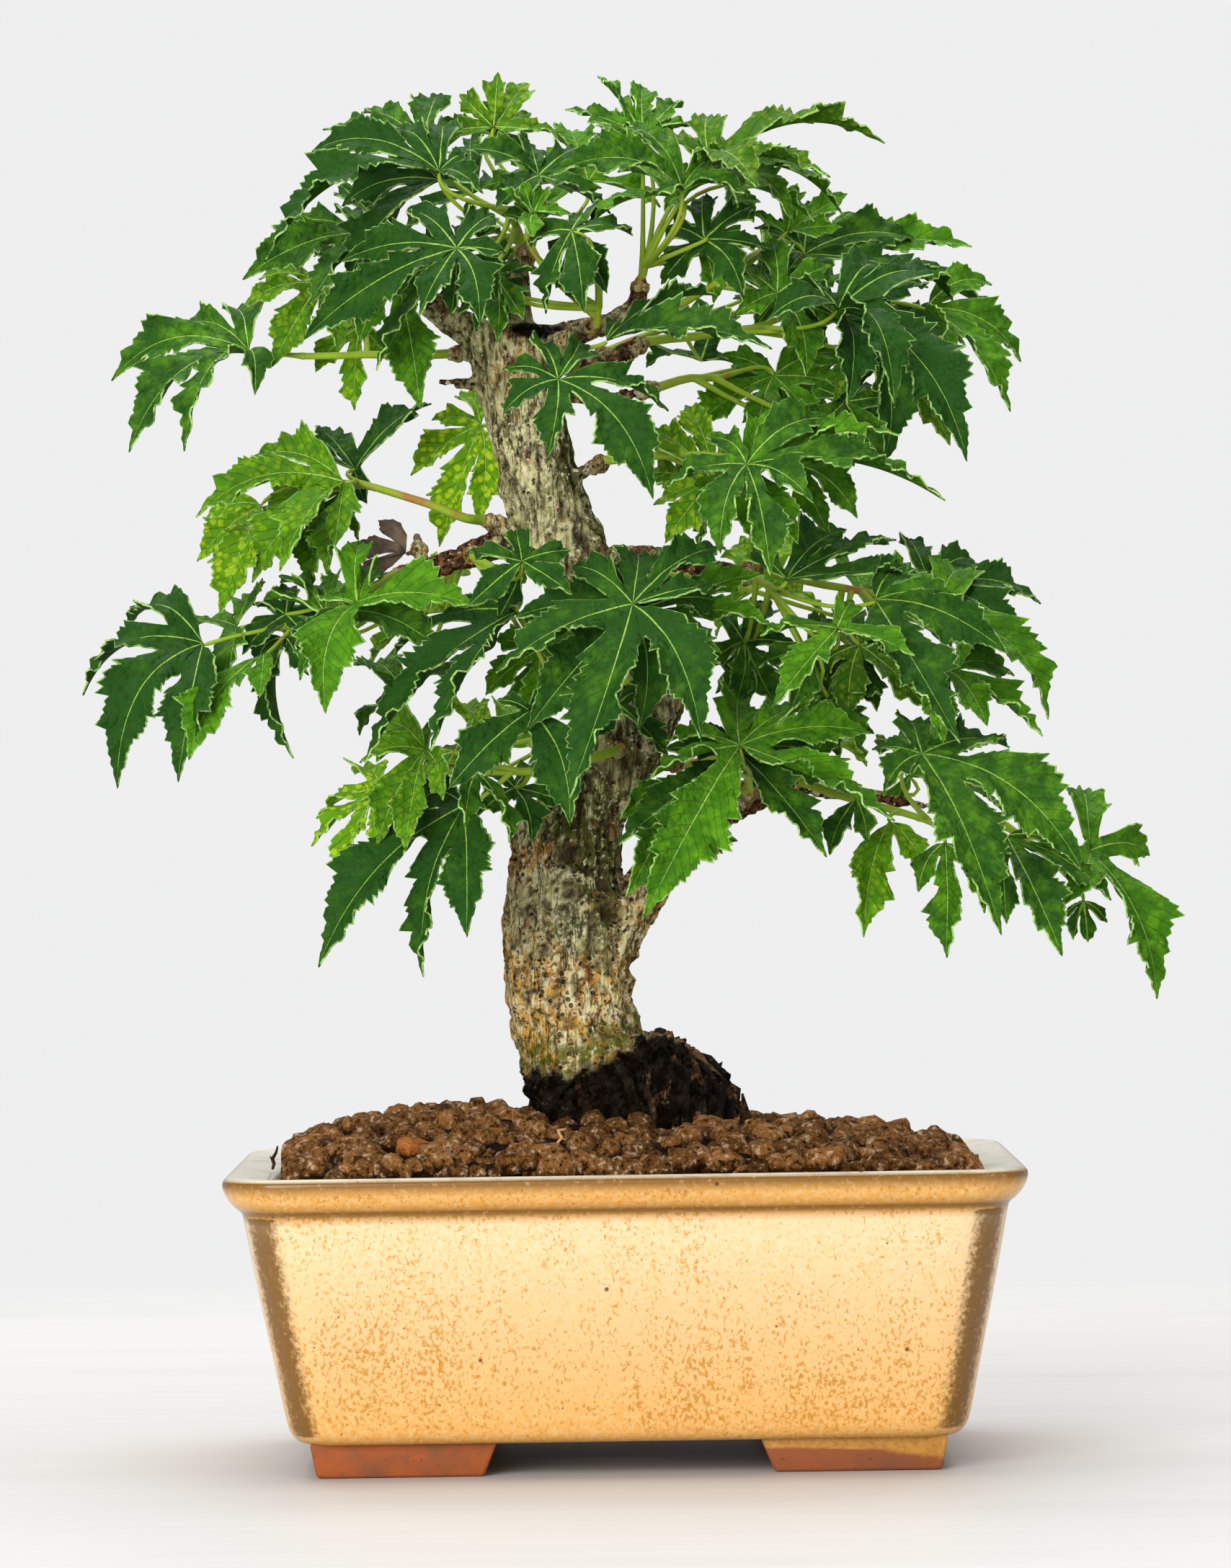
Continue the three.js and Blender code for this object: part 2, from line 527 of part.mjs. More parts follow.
function pot() {
  const outside = loft([
    roundedRing(FOOT_HEIGHT, 57, 7),
    roundedRing(6.7, 58.8, 8),
    roundedRing(9, 60.2, 9),
    roundedRing(28, 63.9, 9.5),
    roundedRing(46.4, 67.2, 10),
    roundedRing(47.2, 67.3, 10),
    roundedRing(48, 68.4, 10.5),
    roundedRing(51, 70.4, 11.5),
    roundedRing(52.6, RIM_HALF_LENGTH, 12),
    roundedRing(RIM_HEIGHT, 69.6, 11.2),
    roundedRing(52.9, 63, 8),
  ]);
  const cavity = loft([
    roundedRing(FLOOR_TOP, CAVITY_FLOOR_HALF_LENGTH, 5),
    roundedRing(49, CAVITY_TOP_HALF_LENGTH - 0.6, 7),
    roundedRing(60, CAVITY_TOP_HALF_LENGTH + 1.4, 7),
  ]);
  const feet = [-1, 1].flatMap((sideX) => [-1, 1].flatMap((sideY) => {
    const along = footLeg(FOOT_OUTER, FOOT_INNER, FOOT_LEG_THICKNESS);
    along.translate(0, FOOT_OUTER - LENGTH_LESS_WIDTH, 0);
    const across = footLeg(FOOT_OUTER - LENGTH_LESS_WIDTH, FOOT_OUTER - LENGTH_LESS_WIDTH - FOOT_SIDE_LENGTH,
      FOOT_LEG_THICKNESS);
    across.rotateZ(Math.PI / 2);
    across.translate(FOOT_OUTER - FOOT_LEG_THICKNESS, 0, 0);
    return [along, across].map((leg) => solidFromGeometry(leg.scale(sideX, sideY, 1)));
  }));
  const drains = [-1, 1].map((side) => {
    const hole = new THREE.CylinderGeometry(DRAIN_RADIUS, DRAIN_RADIUS, 12, 20);
    hole.rotateX(Math.PI / 2);
    hole.translate(side * DRAIN_OFFSET, 0, FOOT_HEIGHT + 3);
    return solidFromGeometry(hole);
  });
  return wasm.Manifold.union([outside.subtract(cavity), ...feet]).subtract(wasm.Manifold.union(drains));
}

function box(sizeX, sizeY, sizeZ, x, y, z) {
  const geometry = new THREE.BoxGeometry(sizeX, sizeY, sizeZ);
  geometry.translate(x, y, z);
  return solidFromGeometry(geometry);
}

// A square screen that lies on the pot's floor over a drain hole
function drainScreen(side) {
  const centre = side * DRAIN_OFFSET;
  const middle = FLOOR_TOP + CLEARANCE + SCREEN_THICKNESS / 2;
  const plate = box(2 * SCREEN_HALF, 2 * SCREEN_HALF, SCREEN_THICKNESS, centre, 0, middle);
  const pitch = (2 * SCREEN_HALF - SCREEN_BAR) / SCREEN_HOLES;
  const holes = [];
  for (let i = 0; i < SCREEN_HOLES; i++) {
    for (let j = 0; j < SCREEN_HOLES; j++) {
      const offset = (n) => (n - (SCREEN_HOLES - 1) / 2) * pitch;
      holes.push(box(pitch - SCREEN_BAR, pitch - SCREEN_BAR, 3, centre + offset(i), offset(j), middle));
    }
  }
  return plate.subtract(wasm.Manifold.union(holes));
}

// The outline of the root flare at one height, with the ridges of its roots
function flareRing([x, z, y, halfLength, halfDepth], grow, ridge) {
  const centre = seen([x, z, y]);
  const sides = 16;
  return Array.from({ length: sides }, (_, i) => {
    const angle = (i / sides) * 2 * Math.PI;
    const swell = 1 + ridge * (i % 2 === 0 ? 1 : -1) * (0.6 + 0.4 * Math.cos(3 * angle));
    return new THREE.Vector3(
      centre.x + (halfLength * swell + grow) * Math.cos(angle),
      centre.y + (halfDepth * swell + grow) * Math.sin(angle),
      centre.z,
    );
  });
}

// The mounded fill of clay grains, its top a field of lumps, with a plain hole for the roots
function soil() {
  const cavityHalf = (z) => {
    const share = (z - FLOOR_TOP) / (49 - FLOOR_TOP);
    return CAVITY_FLOOR_HALF_LENGTH + share * (CAVITY_TOP_HALF_LENGTH - 0.6 - CAVITY_FLOOR_HALF_LENGTH);
  };
  const body = loft([
    roundedRing(FLOOR_TOP + CLEARANCE, CAVITY_FLOOR_HALF_LENGTH - CLEARANCE, 5),
    roundedRing(49, cavityHalf(49) - CLEARANCE, 7),
    roundedRing(64, CAVITY_TOP_HALF_LENGTH + 0.2, 7),
  ]);
  const halfX = CAVITY_TOP_HALF_LENGTH + 3;
  const halfY = halfX - LENGTH_LESS_WIDTH;
  const columns = Math.round((2 * halfX) / GRAIN_STEP);
  const rows = Math.round((2 * halfY) / GRAIN_STEP);
  const lump = (i, j) => Math.sin(i * 12.9898 + j * 78.233) * 0.6 + Math.sin(i * 2.3 + j * 1.7) * 0.4;
  const points = [];
  const faces = [];
  for (const level of ["top", "bottom"]) {
    for (let j = 0; j <= rows; j++) {
      for (let i = 0; i <= columns; i++) {
        const shift = (j % 2) * 0.25 * GRAIN_STEP;
        const inside = i > 0 && i < columns ? shift : 0;
        const x = -halfX + (2 * halfX * i) / columns + inside;
        const y = -halfY + (2 * halfY * j) / rows;
        const lengthways = Math.max(0, 1 - (x / halfX) ** 4);
        const lean = 1 - (SOIL_LEAN * x) / halfX;
        const mound = SOIL_MOUND * lean * lengthways * Math.max(0, 1 - (y / halfY) ** 2) ** 0.7;
        const top = SOIL_EDGE_HEIGHT + mound + GRAIN_RELIEF * lump(i, j);
        points.push(new THREE.Vector3(x, y, level === "top" ? top : 5));
      }
    }
  }
  const width = columns + 1;
  const below = width * (rows + 1);
  for (let j = 0; j < rows; j++) {
    for (let i = 0; i < columns; i++) {
      const a = j * width + i;
      faces.push([a, a + 1, a + width + 1], [a, a + width + 1, a + width]);
      const b = a + below;
      faces.push([b, b + width + 1, b + 1], [b, b + width, b + width + 1]);
    }
  }
  for (let i = 0; i < columns; i++) {
    const front = i;
    const back = rows * width + i;
    faces.push([front, front + below, front + below + 1], [front, front + below + 1, front + 1]);
    faces.push([back + 1, back + below + 1, back + below], [back + 1, back + below, back]);
  }
  for (let j = 0; j < rows; j++) {
    const left = j * width;
    const right = j * width + columns;
    faces.push([left + width, left + width + below, left + below], [left + width, left + below, left]);
    faces.push([right, right + below, right + width + below], [right, right + width + below, right + width]);
  }
  const field = solidFrom(points, faces);
  const rootHole = loft([
    flareRing([-3, 19.6, 0, 17, 14], CLEARANCE, 0),
    flareRing([1, 52, 0, 18.6, 16], CLEARANCE, 0),
    flareRing([2, 61, 0, 19, 16], CLEARANCE + 1, 0),
    flareRing([2, 70, 0, 19, 16], CLEARANCE + 1, 0),
  ]);
  const pockets = [-1, 1].map((side) => {
    const size = 2 * (SCREEN_HALF + CLEARANCE);
    const depth = 2 * (SCREEN_THICKNESS + 2 * CLEARANCE);
    return box(size, size, depth, side * DRAIN_OFFSET, 0, FLOOR_TOP + CLEARANCE);
  });
  return mainBody(body.intersect(field).subtract(wasm.Manifold.union([rootHole, ...pockets])));
}

// A length of wood or stalk: rings square to its path, tapering from point to point
function limb(points, radii, sides) {
  const across = new THREE.Vector3(0, 1, 0.01);
  const rings = points.map((point, k) => {
    const before = points[Math.max(k - 1, 0)];
    const after = points[Math.min(k + 1, points.length - 1)];
    const along = after.clone().sub(before).normalize();
    if (k === 0 && Math.abs(along.y) > 0.9) across.set(0, 0, 1);
    across.addScaledVector(along, -across.dot(along)).normalize();
    const out = new THREE.Vector3().crossVectors(along, across);
    return Array.from({ length: sides }, (_, i) => {
      const angle = (i / sides) * 2 * Math.PI;
      return point.clone()
        .addScaledVector(across, radii[k] * Math.cos(angle))
        .addScaledVector(out, radii[k] * Math.sin(angle));
    });
  });
  return loft(rings);
}

function woodLimb(list, sides) {
  return limb(list.map(seen), list.map((entry) => entry[3]), sides);
}

// The trunk with its uneven bark, the branches and twigs that grew from it and the root flare
function trunk() {
  const sides = 10;
  const rings = TRUNK.map(([x, z, y, radius], k) => {
    const centre = seen([x, z, y]);
    return Array.from({ length: sides }, (_, i) => {
      const angle = (i / sides) * 2 * Math.PI;
      const bark = 1 + 0.035 * Math.sin(3 * angle + 0.9 * k) + 0.025 * Math.sin(5 * angle - 1.3 * k);
      return centre.clone().add(new THREE.Vector3(
        radius * bark * Math.cos(angle),
        radius * bark * Math.sin(angle) * 0.94,
        0,
      ));
    });
  });
  const wood = [loft(rings), loft(ROOT_FLARE.map((ring, k) => flareRing(ring, 0, k < 2 ? 0 : 0.045)))];
  for (const list of Object.values(BRANCHES)) {
    wood.push(woodLimb(list, list[0][3] > 2.5 ? 7 : 4));
  }
  return mainBody(wasm.Manifold.union(wood));
}

function quadratic(a, b, c, t) {
  return a.clone().multiplyScalar((1 - t) ** 2)
    .addScaledVector(b, 2 * t * (1 - t))
    .addScaledVector(c, t * t);
}

// The midrib of each lobe: a curve from the hub that first rises and then droops to the tip
function bladeNormal(hub, tips) {
  const chords = tips.map((tip) => tip.clone().sub(hub));
  const normal = new THREE.Vector3();
  for (let i = 0; i + 1 < chords.length; i++) {
    normal.add(new THREE.Vector3().crossVectors(chords[i + 1], chords[i]));
  }
  return normal.normalize();
}

function lobesOf(hub, tips, arch) {
  const normal = bladeNormal(hub, tips);
  return tips.map((tip) => {
    const chord = tip.clone().sub(hub);
    const length = chord.length();
    const along = chord.clone().normalize();
    const rise = normal.clone().add(UP);
    rise.addScaledVector(along, -rise.dot(along)).normalize();
    const knee = hub.clone().add(tip).multiplyScalar(0.5).addScaledVector(rise, arch * length);
    const side = new THREE.Vector3().crossVectors(normal, along).normalize();
    const at = (t) => quadratic(hub, knee, tip, t);
    const lift = (t) => {
      const slope = at(Math.min(t + 0.02, 1)).sub(at(Math.max(t - 0.02, 0))).normalize();
      return new THREE.Vector3().crossVectors(slope, side).normalize();
    };
    return { tip, length, side, at, lift };
  });
}

// How far a point lies from the midrib of a neighbouring lobe
function distanceTo(lobe, point) {
  let nearest = Infinity;
  for (let step = 0; step <= 20; step++) {
    nearest = Math.min(nearest, lobe.at(step / 20).distanceTo(point));
  }
  return nearest;
}

// The middle of the gap between a leaf's last lobe and its first, where the stalk comes in
function openSide(hub, tips) {
  const ways = tips.map((tip) => tip.clone().sub(hub));
  const turn = ways.slice(1).reduce((sum, way, i) => sum + way.angleTo(ways[i]), 0);
  const normal = bladeNormal(hub, tips);
  const first = ways[0].addScaledVector(normal, -ways[0].dot(normal)).normalize();
  return first.applyAxisAngle(normal, Math.PI - turn / 2);
}

// A palmate leaf and its stalk. The first of the listed shapes that doesn't cut itself is taken:
// the stalk runs on from the base of the blade, ever more behind it, or else is a rod behind a
// blade whose lobes get narrower
function leaf(hub, tips, arch, root) {
  const normal = bladeNormal(hub, tips);
  const open = openSide(hub, tips);
  const lobes = lobesOf(hub, tips, arch);
  const behind = root.clone().sub(hub).dot(normal) < 0 ? -1 : 1;
  for (const tilt of STALK_TILTS) {
    const turned = behind * tilt;
    const out = open.clone().multiplyScalar(Math.cos(turned)).addScaledVector(normal, Math.sin(turned));
    const { points, skin } = leafSkin(hub, lobes, 1, open, stalkBand(hub, out, normal, root));
    if (!cutsItself(points, skin)) return solidFrom(points, skin);
  }
  for (const width of LOBE_WIDTHS) {
    const { points, skin } = leafSkin(hub, lobes, width, open, []);
    if (!cutsItself(points, skin)) {
      return wasm.Manifold.union([solidFrom(points, skin), stalkRod(hub, open, normal, behind, root)]);
    }
  }
  throw new Error(`the leaf at ${hub.toArray()} cuts itself`);
}

function stalkRod(hub, open, normal, behind, root) {
  const start = hub.clone().addScaledVector(open, 0.5).addScaledVector(normal, -behind * 0.7);
  const bend = start.clone().addScaledVector(normal, behind * 0.3 * start.distanceTo(root)).lerp(root, 0.35);
  return limb([start, bend, root], [0.55, 0.6, 0.7], 3);
}

// Pairs of points to the left and the right of a stalk, from the base of the blade to its root
function stalkBand(hub, out, normal, root) {
  const base = hub.clone().addScaledVector(out, BASE_LENGTH);
  const across = new THREE.Vector3().crossVectors(out, normal).normalize();
  const bend = base.clone().addScaledVector(out, 0.3 * base.distanceTo(root));
  const end = root.clone().addScaledVector(root.clone().sub(bend).normalize(), STALK_END);
  return STALK_STEPS.map((t) => {
    const middle = quadratic(base, bend, end, t);
    const along = quadratic(base, bend, end, t + 0.01).sub(middle).normalize();
    across.addScaledVector(along, -across.dot(along)).normalize();
    return [1, -1].map((sign) => middle.clone().addScaledVector(across, sign * STALK_HALF_WIDTH));
  });
}

// Every lobe is a pair of toothed half blades along its midrib, and neighbouring lobes share the
// point where the cut between them ends
function leafSkin(hub, lobes, width, open, stalk) {
  const points = [hub.clone()];
  const faces = [];
  const add = (point) => points.push(point) - 1;
  const cuts = lobes.slice(1).map((lobe, i) => {
    const reach = SINUS * Math.min(lobe.length, lobes[i].length);
    return add(lobe.at(reach / lobe.length).add(lobes[i].at(reach / lobes[i].length)).multiplyScalar(0.5));
  });
  const edges = lobes.map((lobe, i) => {
    const long = lobe.length > LONG_LOBE && hub.y < PLAIN_DEPTH;
    const ribs = (long ? LONG_RIB : SHORT_RIB).map((t) => ({ t, id: add(lobe.at(t)) }));
    const tip = add(lobe.tip.clone());
    const outline = long ? LONG_OUTLINE : SHORT_OUTLINE;
    return [1, -1].map((sign) => {
      const inner = lobes[i - sign];
      const opposite = lobes[(i - sign + lobes.length) % lobes.length];
      const edgePoint = (t, share) => {
        const centre = lobe.at(t);
        const room = SHARE_OF_GAP * distanceTo(opposite, centre) - (inner ? 0 : STALK_HALF_WIDTH);
        const half = Math.max(Math.min(width * share * LOBE_HALF_WIDTH * lobe.length, room), LEAST_WIDTH);
        centre.addScaledVector(lobe.side, sign * half);
        return add(centre.addScaledVector(lobe.lift(t), EDGE_LIFT * half));
      };
      const cut = inner ? cuts[sign > 0 ? i - 1 : i] : edgePoint(...OUTER_EDGE);
      const edge = outline.map(([t, share]) => ({ t, id: edgePoint(t, share) }));
      const chain = [{ t: 0, id: cut }, ...edge, { t: 1, id: tip }];
      faces.push(...zip([{ t: 0, id: 0 }, ...ribs, { t: 1, id: tip }], chain, sign));
      return chain.map((entry) => entry.id);
    });
  });
  const rim = edges.flatMap(([left, right]) => [...left.slice(1), ...right.slice(0, -1).reverse()]);
  const first = edges[0][0][0];
  const last = edges[edges.length - 1][1][0];
  rim.unshift(first);
  if (stalk.length === 0) {
    const base = add(hub.clone().addScaledVector(open, 1));
    faces.push([0, base, first], [0, last, base]);
    rim.push(base);
    return thicken(points, faces, rim, LEAF_THICKNESS);
  }
  const band = stalk.map((pair) => pair.map(add));
  const [[left, right]] = band;
  faces.push([0, left, first], [0, last, right], [0, right, left]);
  for (let k = 0; k + 1 < band.length; k++) {
    const [[a, b], [c, d]] = [band[k], band[k + 1]];
    faces.push([a, b, d], [a, d, c]);
  }
  rim.push(...band.map((pair) => pair[1]), ...band.map((pair) => pair[0]).reverse());
  return thicken(points, faces, rim, LEAF_THICKNESS);
}

// Whether an edge of a skin passes through a triangle that it has no point in common with
function cutsItself(points, skin) {
  const ray = new THREE.Ray();
  const hit = new THREE.Vector3();
  const boxes = skin.map((ids) => new THREE.Box3().setFromPoints(ids.map((id) => points[id])));
  return skin.some((ids) => ids.some((from, k) => {
    const to = ids[(k + 1) % 3];
    if (from > to) return false;
    const length = points[from].distanceTo(points[to]);
    const reach = new THREE.Box3().setFromPoints([points[from], points[to]]);
    ray.origin.copy(points[from]);
    ray.direction.copy(points[to]).sub(points[from]).normalize();
    return skin.some((other, n) => {
      if (other.includes(from) || other.includes(to) || !boxes[n].intersectsBox(reach)) return false;
      const [a, b, c] = other.map((id) => points[id]);
      return ray.intersectTriangle(a, b, c, false, hit) !== null && hit.distanceTo(ray.origin) < length;
    });
  }));
}

// Triangles between a midrib and an edge that both end in the same tip
function zip(rib, edge, sign) {
  const faces = [];
  let r = 0;
  let e = 0;
  while (r + 2 < rib.length || e + 2 < edge.length) {
    const alongRib = e + 2 >= edge.length || (r + 2 < rib.length && rib[r + 1].t <= edge[e + 1].t);
    const next = alongRib ? rib[r + 1].id : edge[e + 1].id;
    faces.push([rib[r].id, edge[e].id, next]);
    if (alongRib) r += 1;
    else e += 1;
  }
  faces.push([rib[r].id, edge[e].id, rib[rib.length - 1].id]);
  return faces.map(([a, b, c]) => (sign > 0 ? [a, b, c] : [b, a, c]));
}

// A sheet of triangles to a closed blade: each point is offset both ways along its normal
function thicken(points, faces, rim, thickness) {
  const normals = points.map(() => new THREE.Vector3());
  for (const [a, b, c] of faces) {
    const normal = points[b].clone().sub(points[a]).cross(points[c].clone().sub(points[a]));
    for (const id of [a, b, c]) normals[id].add(normal);
  }
  normals.forEach((normal) => normal.normalize());
  const count = points.length;
  const both = [0.5, -0.5].flatMap((share) => {
    return points.map((point, i) => point.clone().addScaledVector(normals[i], share * thickness));
  });
  const skin = faces.flatMap(([a, b, c]) => [[a, b, c], [a + count, c + count, b + count]]);
  rim.forEach((a, i) => {
    const b = rim[(i + 1) % rim.length];
    skin.push([a, a + count, b + count], [a, b + count, b]);
  });
  return { points: both, skin };
}

// Where the stalks leave the stem: each at the point of the stem nearest to its leaf, or the next
// free place below it
function stalkRoots(joints, hubs) {
  const stemLine = new THREE.CurvePath();
  for (let k = 0; k + 1 < joints.length; k++) {
    stemLine.add(new THREE.LineCurve3(joints[k], joints[k + 1]));
  }
  const length = stemLine.getLength();
  const steps = Math.max(Math.floor((length - STEM_COLLAR) / STALK_SPACING), 0);
  const places = [];
  for (let i = 0; i <= steps; i++) places.push(stemLine.getPointAt(1 - (i * STALK_SPACING) / length));
  const taken = new Set();
  return hubs.map((hub) => {
    const free = places.map((_, i) => i).filter((i) => !taken.has(i));
    const choice = free.length > 0 ? free : [0];
    const nearest = choice.reduce((a, b) => (places[b].distanceTo(hub) < places[a].distanceTo(hub) ? b : a));
    taken.add(nearest);
    return places[nearest];
  });
}

function spray({ from, stem, leaves }) {
  const joints = stemJoints(from, stem);
  const radii = joints.map((_, k) => STEM_RADIUS * (k === 0 ? 1.3 : 1));
  const hubs = leaves.map(([hub]) => seen(hub));
  const roots = stalkRoots(joints, hubs);
  const parts = leaves.map(([, arch, tips], i) => leaf(hubs[i], tips.map(seen), arch, roots[i]));
  return mainBody(wasm.Manifold.union([limb(joints, radii, 4), ...parts]));
}

// A stem starts square on the end of its twig, a clearance off it
function stemJoints(from, stem) {
  const twig = BRANCHES[from].map(seen);
  const end = twig[twig.length - 1];
  const out = end.clone().sub(twig[twig.length - 2]).normalize();
  const seat = [CLEARANCE, CLEARANCE + STEM_COLLAR].map((step) => end.clone().addScaledVector(out, step));
  return [...seat, ...stem.map(seen)];
}

const model = new THREE.Group();

function place(name, solid, look) {
  const mesh = new THREE.Mesh(geometryFrom(solid), look);
  mesh.name = name;
  model.add(mesh);
}

place("pot", pot(), MATERIALS.glaze);
place("drain_screen_left", drainScreen(-1), MATERIALS.screen);
place("drain_screen_right", drainScreen(1), MATERIALS.screen);
place("soil", soil(), MATERIALS.soil);
place("trunk", trunk(), MATERIALS.bark);
for (const [name, description] of Object.entries(SPRAYS)) {
  place(`spray_${name}`, spray(description), MATERIALS.leaf);
}
place("dried_leaf", spray(DRIED_LEAF), MATERIALS.dryLeaf);

export default model;
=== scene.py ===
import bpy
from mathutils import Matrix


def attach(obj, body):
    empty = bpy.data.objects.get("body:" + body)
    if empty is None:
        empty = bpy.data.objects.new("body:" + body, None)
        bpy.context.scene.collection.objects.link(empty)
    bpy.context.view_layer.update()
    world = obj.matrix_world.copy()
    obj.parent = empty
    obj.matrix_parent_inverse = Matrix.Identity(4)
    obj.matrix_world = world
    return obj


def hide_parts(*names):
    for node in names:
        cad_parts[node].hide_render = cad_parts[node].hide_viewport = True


bl_info = {
    "name": "Potted Bonsai Maple",
    "version": (1, 0, 0),
    "blender": (4, 5, 0),
    "location": "View3D > Sidebar > Bonsai",
    "description": "A Japanese maple bonsai with toothed palmate leaves in a glazed rectangular pot",
    "category": "Add Mesh",
}

import math
import random

import bmesh
import bpy
from bpy.props import FloatProperty, FloatVectorProperty, PointerProperty
from bpy.types import Operator, Panel, PropertyGroup
from mathutils import Matrix, Vector, noise
from mathutils.bvhtree import BVHTree

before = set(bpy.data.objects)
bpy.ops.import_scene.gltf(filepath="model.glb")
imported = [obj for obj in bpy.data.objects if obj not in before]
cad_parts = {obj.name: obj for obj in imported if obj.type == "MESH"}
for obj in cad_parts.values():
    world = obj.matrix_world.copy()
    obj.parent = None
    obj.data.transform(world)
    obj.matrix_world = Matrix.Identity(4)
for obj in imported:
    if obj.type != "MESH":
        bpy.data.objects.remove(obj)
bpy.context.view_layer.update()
noise.seed_set(41)  # vector noise starts from the time of day without it

MM = 0.001
UP = Vector((0, 0, 1))
DOWN = Vector((0, 0, -1))

# The camera, in mm and radians: where the photograph was taken from, and how it was held
EYE = Vector((-1.25, -1200, 121.5))
EYE_ROLL = 0.015
EYE_SIDESTEP = 0.6  # half of the offset between the photograph's tree and pot
FOCAL_LENGTH = 151.8
SENSOR = 36

# The pot's wall from the foot up, over the lip and down inside:
# (height, half length, corner radius, brown, pale, gold), sizes in mm, tones 0 to 1
POT_PROFILE = [
    (5.9, 56.4, 6.8, 0.5, 0, 0.8), (6.05, 57.6, 7.3, 0.4, 0, 1), (6.6, 58.7, 8, 0.2, 0, 1),
    (7.8, 59.7, 8.7, 0, 0, 0.95), (9.4, 60.3, 9, 0, 0, 0.9), (14, 61.2, 9.1, 0, 0, 0.78),
    (20, 62.3, 9.3, 0, 0, 0.62), (28, 63.9, 9.5, 0, 0, 0.4), (36, 65.4, 9.7, 0, 0, 0.2),
    # From 46.4 to 48.1 mm, in the groove under the lip, the brown is partly the glaze's own brown and partly
    # painted shade
    (43, 66.6, 9.9, 0, 0, 0), (45.4, 67, 10, 0, 0.05, 0.1), (46.4, 67.2, 10, 0.35, 0, 0.6),
    (47, 67.3, 10, 0.85, 0, 1), (47.5, 67.7, 10.2, 0.9, 0, 1), (48.1, 68.5, 10.5, 0.3, 0, 1),
    (49.2, 69.5, 10.9, 0, 0, 1), (50.3, 70.15, 11.3, 0, 0, 0.9), (51.2, 70.5, 11.6, 0.45, 0, 1),
    (52.1, 70.75, 11.9, 0.85, 0, 1), (52.9, 70.7, 11.9, 1, 0, 1), (53.4, 70.1, 11.6, 0.6, 0.5, 0.3),
    (53.6, 69.2, 11.2, 0.15, 0.9, 0),
    (53.5, 68, 10.6, 0, 1, 0), (53.15, 65, 9, 0, 1, 0), (52.8, 62.4, 7.6, 0.05, 0.9, 0),
    (52, 61.4, 7.1, 0.25, 0.5, 0), (49, 60.4, 7, 0.1, 0.3, 0), (30, 56.5, 6, 0, 0.2, 0),
    (12, 52.6, 5, 0, 0.2, 0), (11, 51.8, 4.6, 0, 0.2, 0),
]

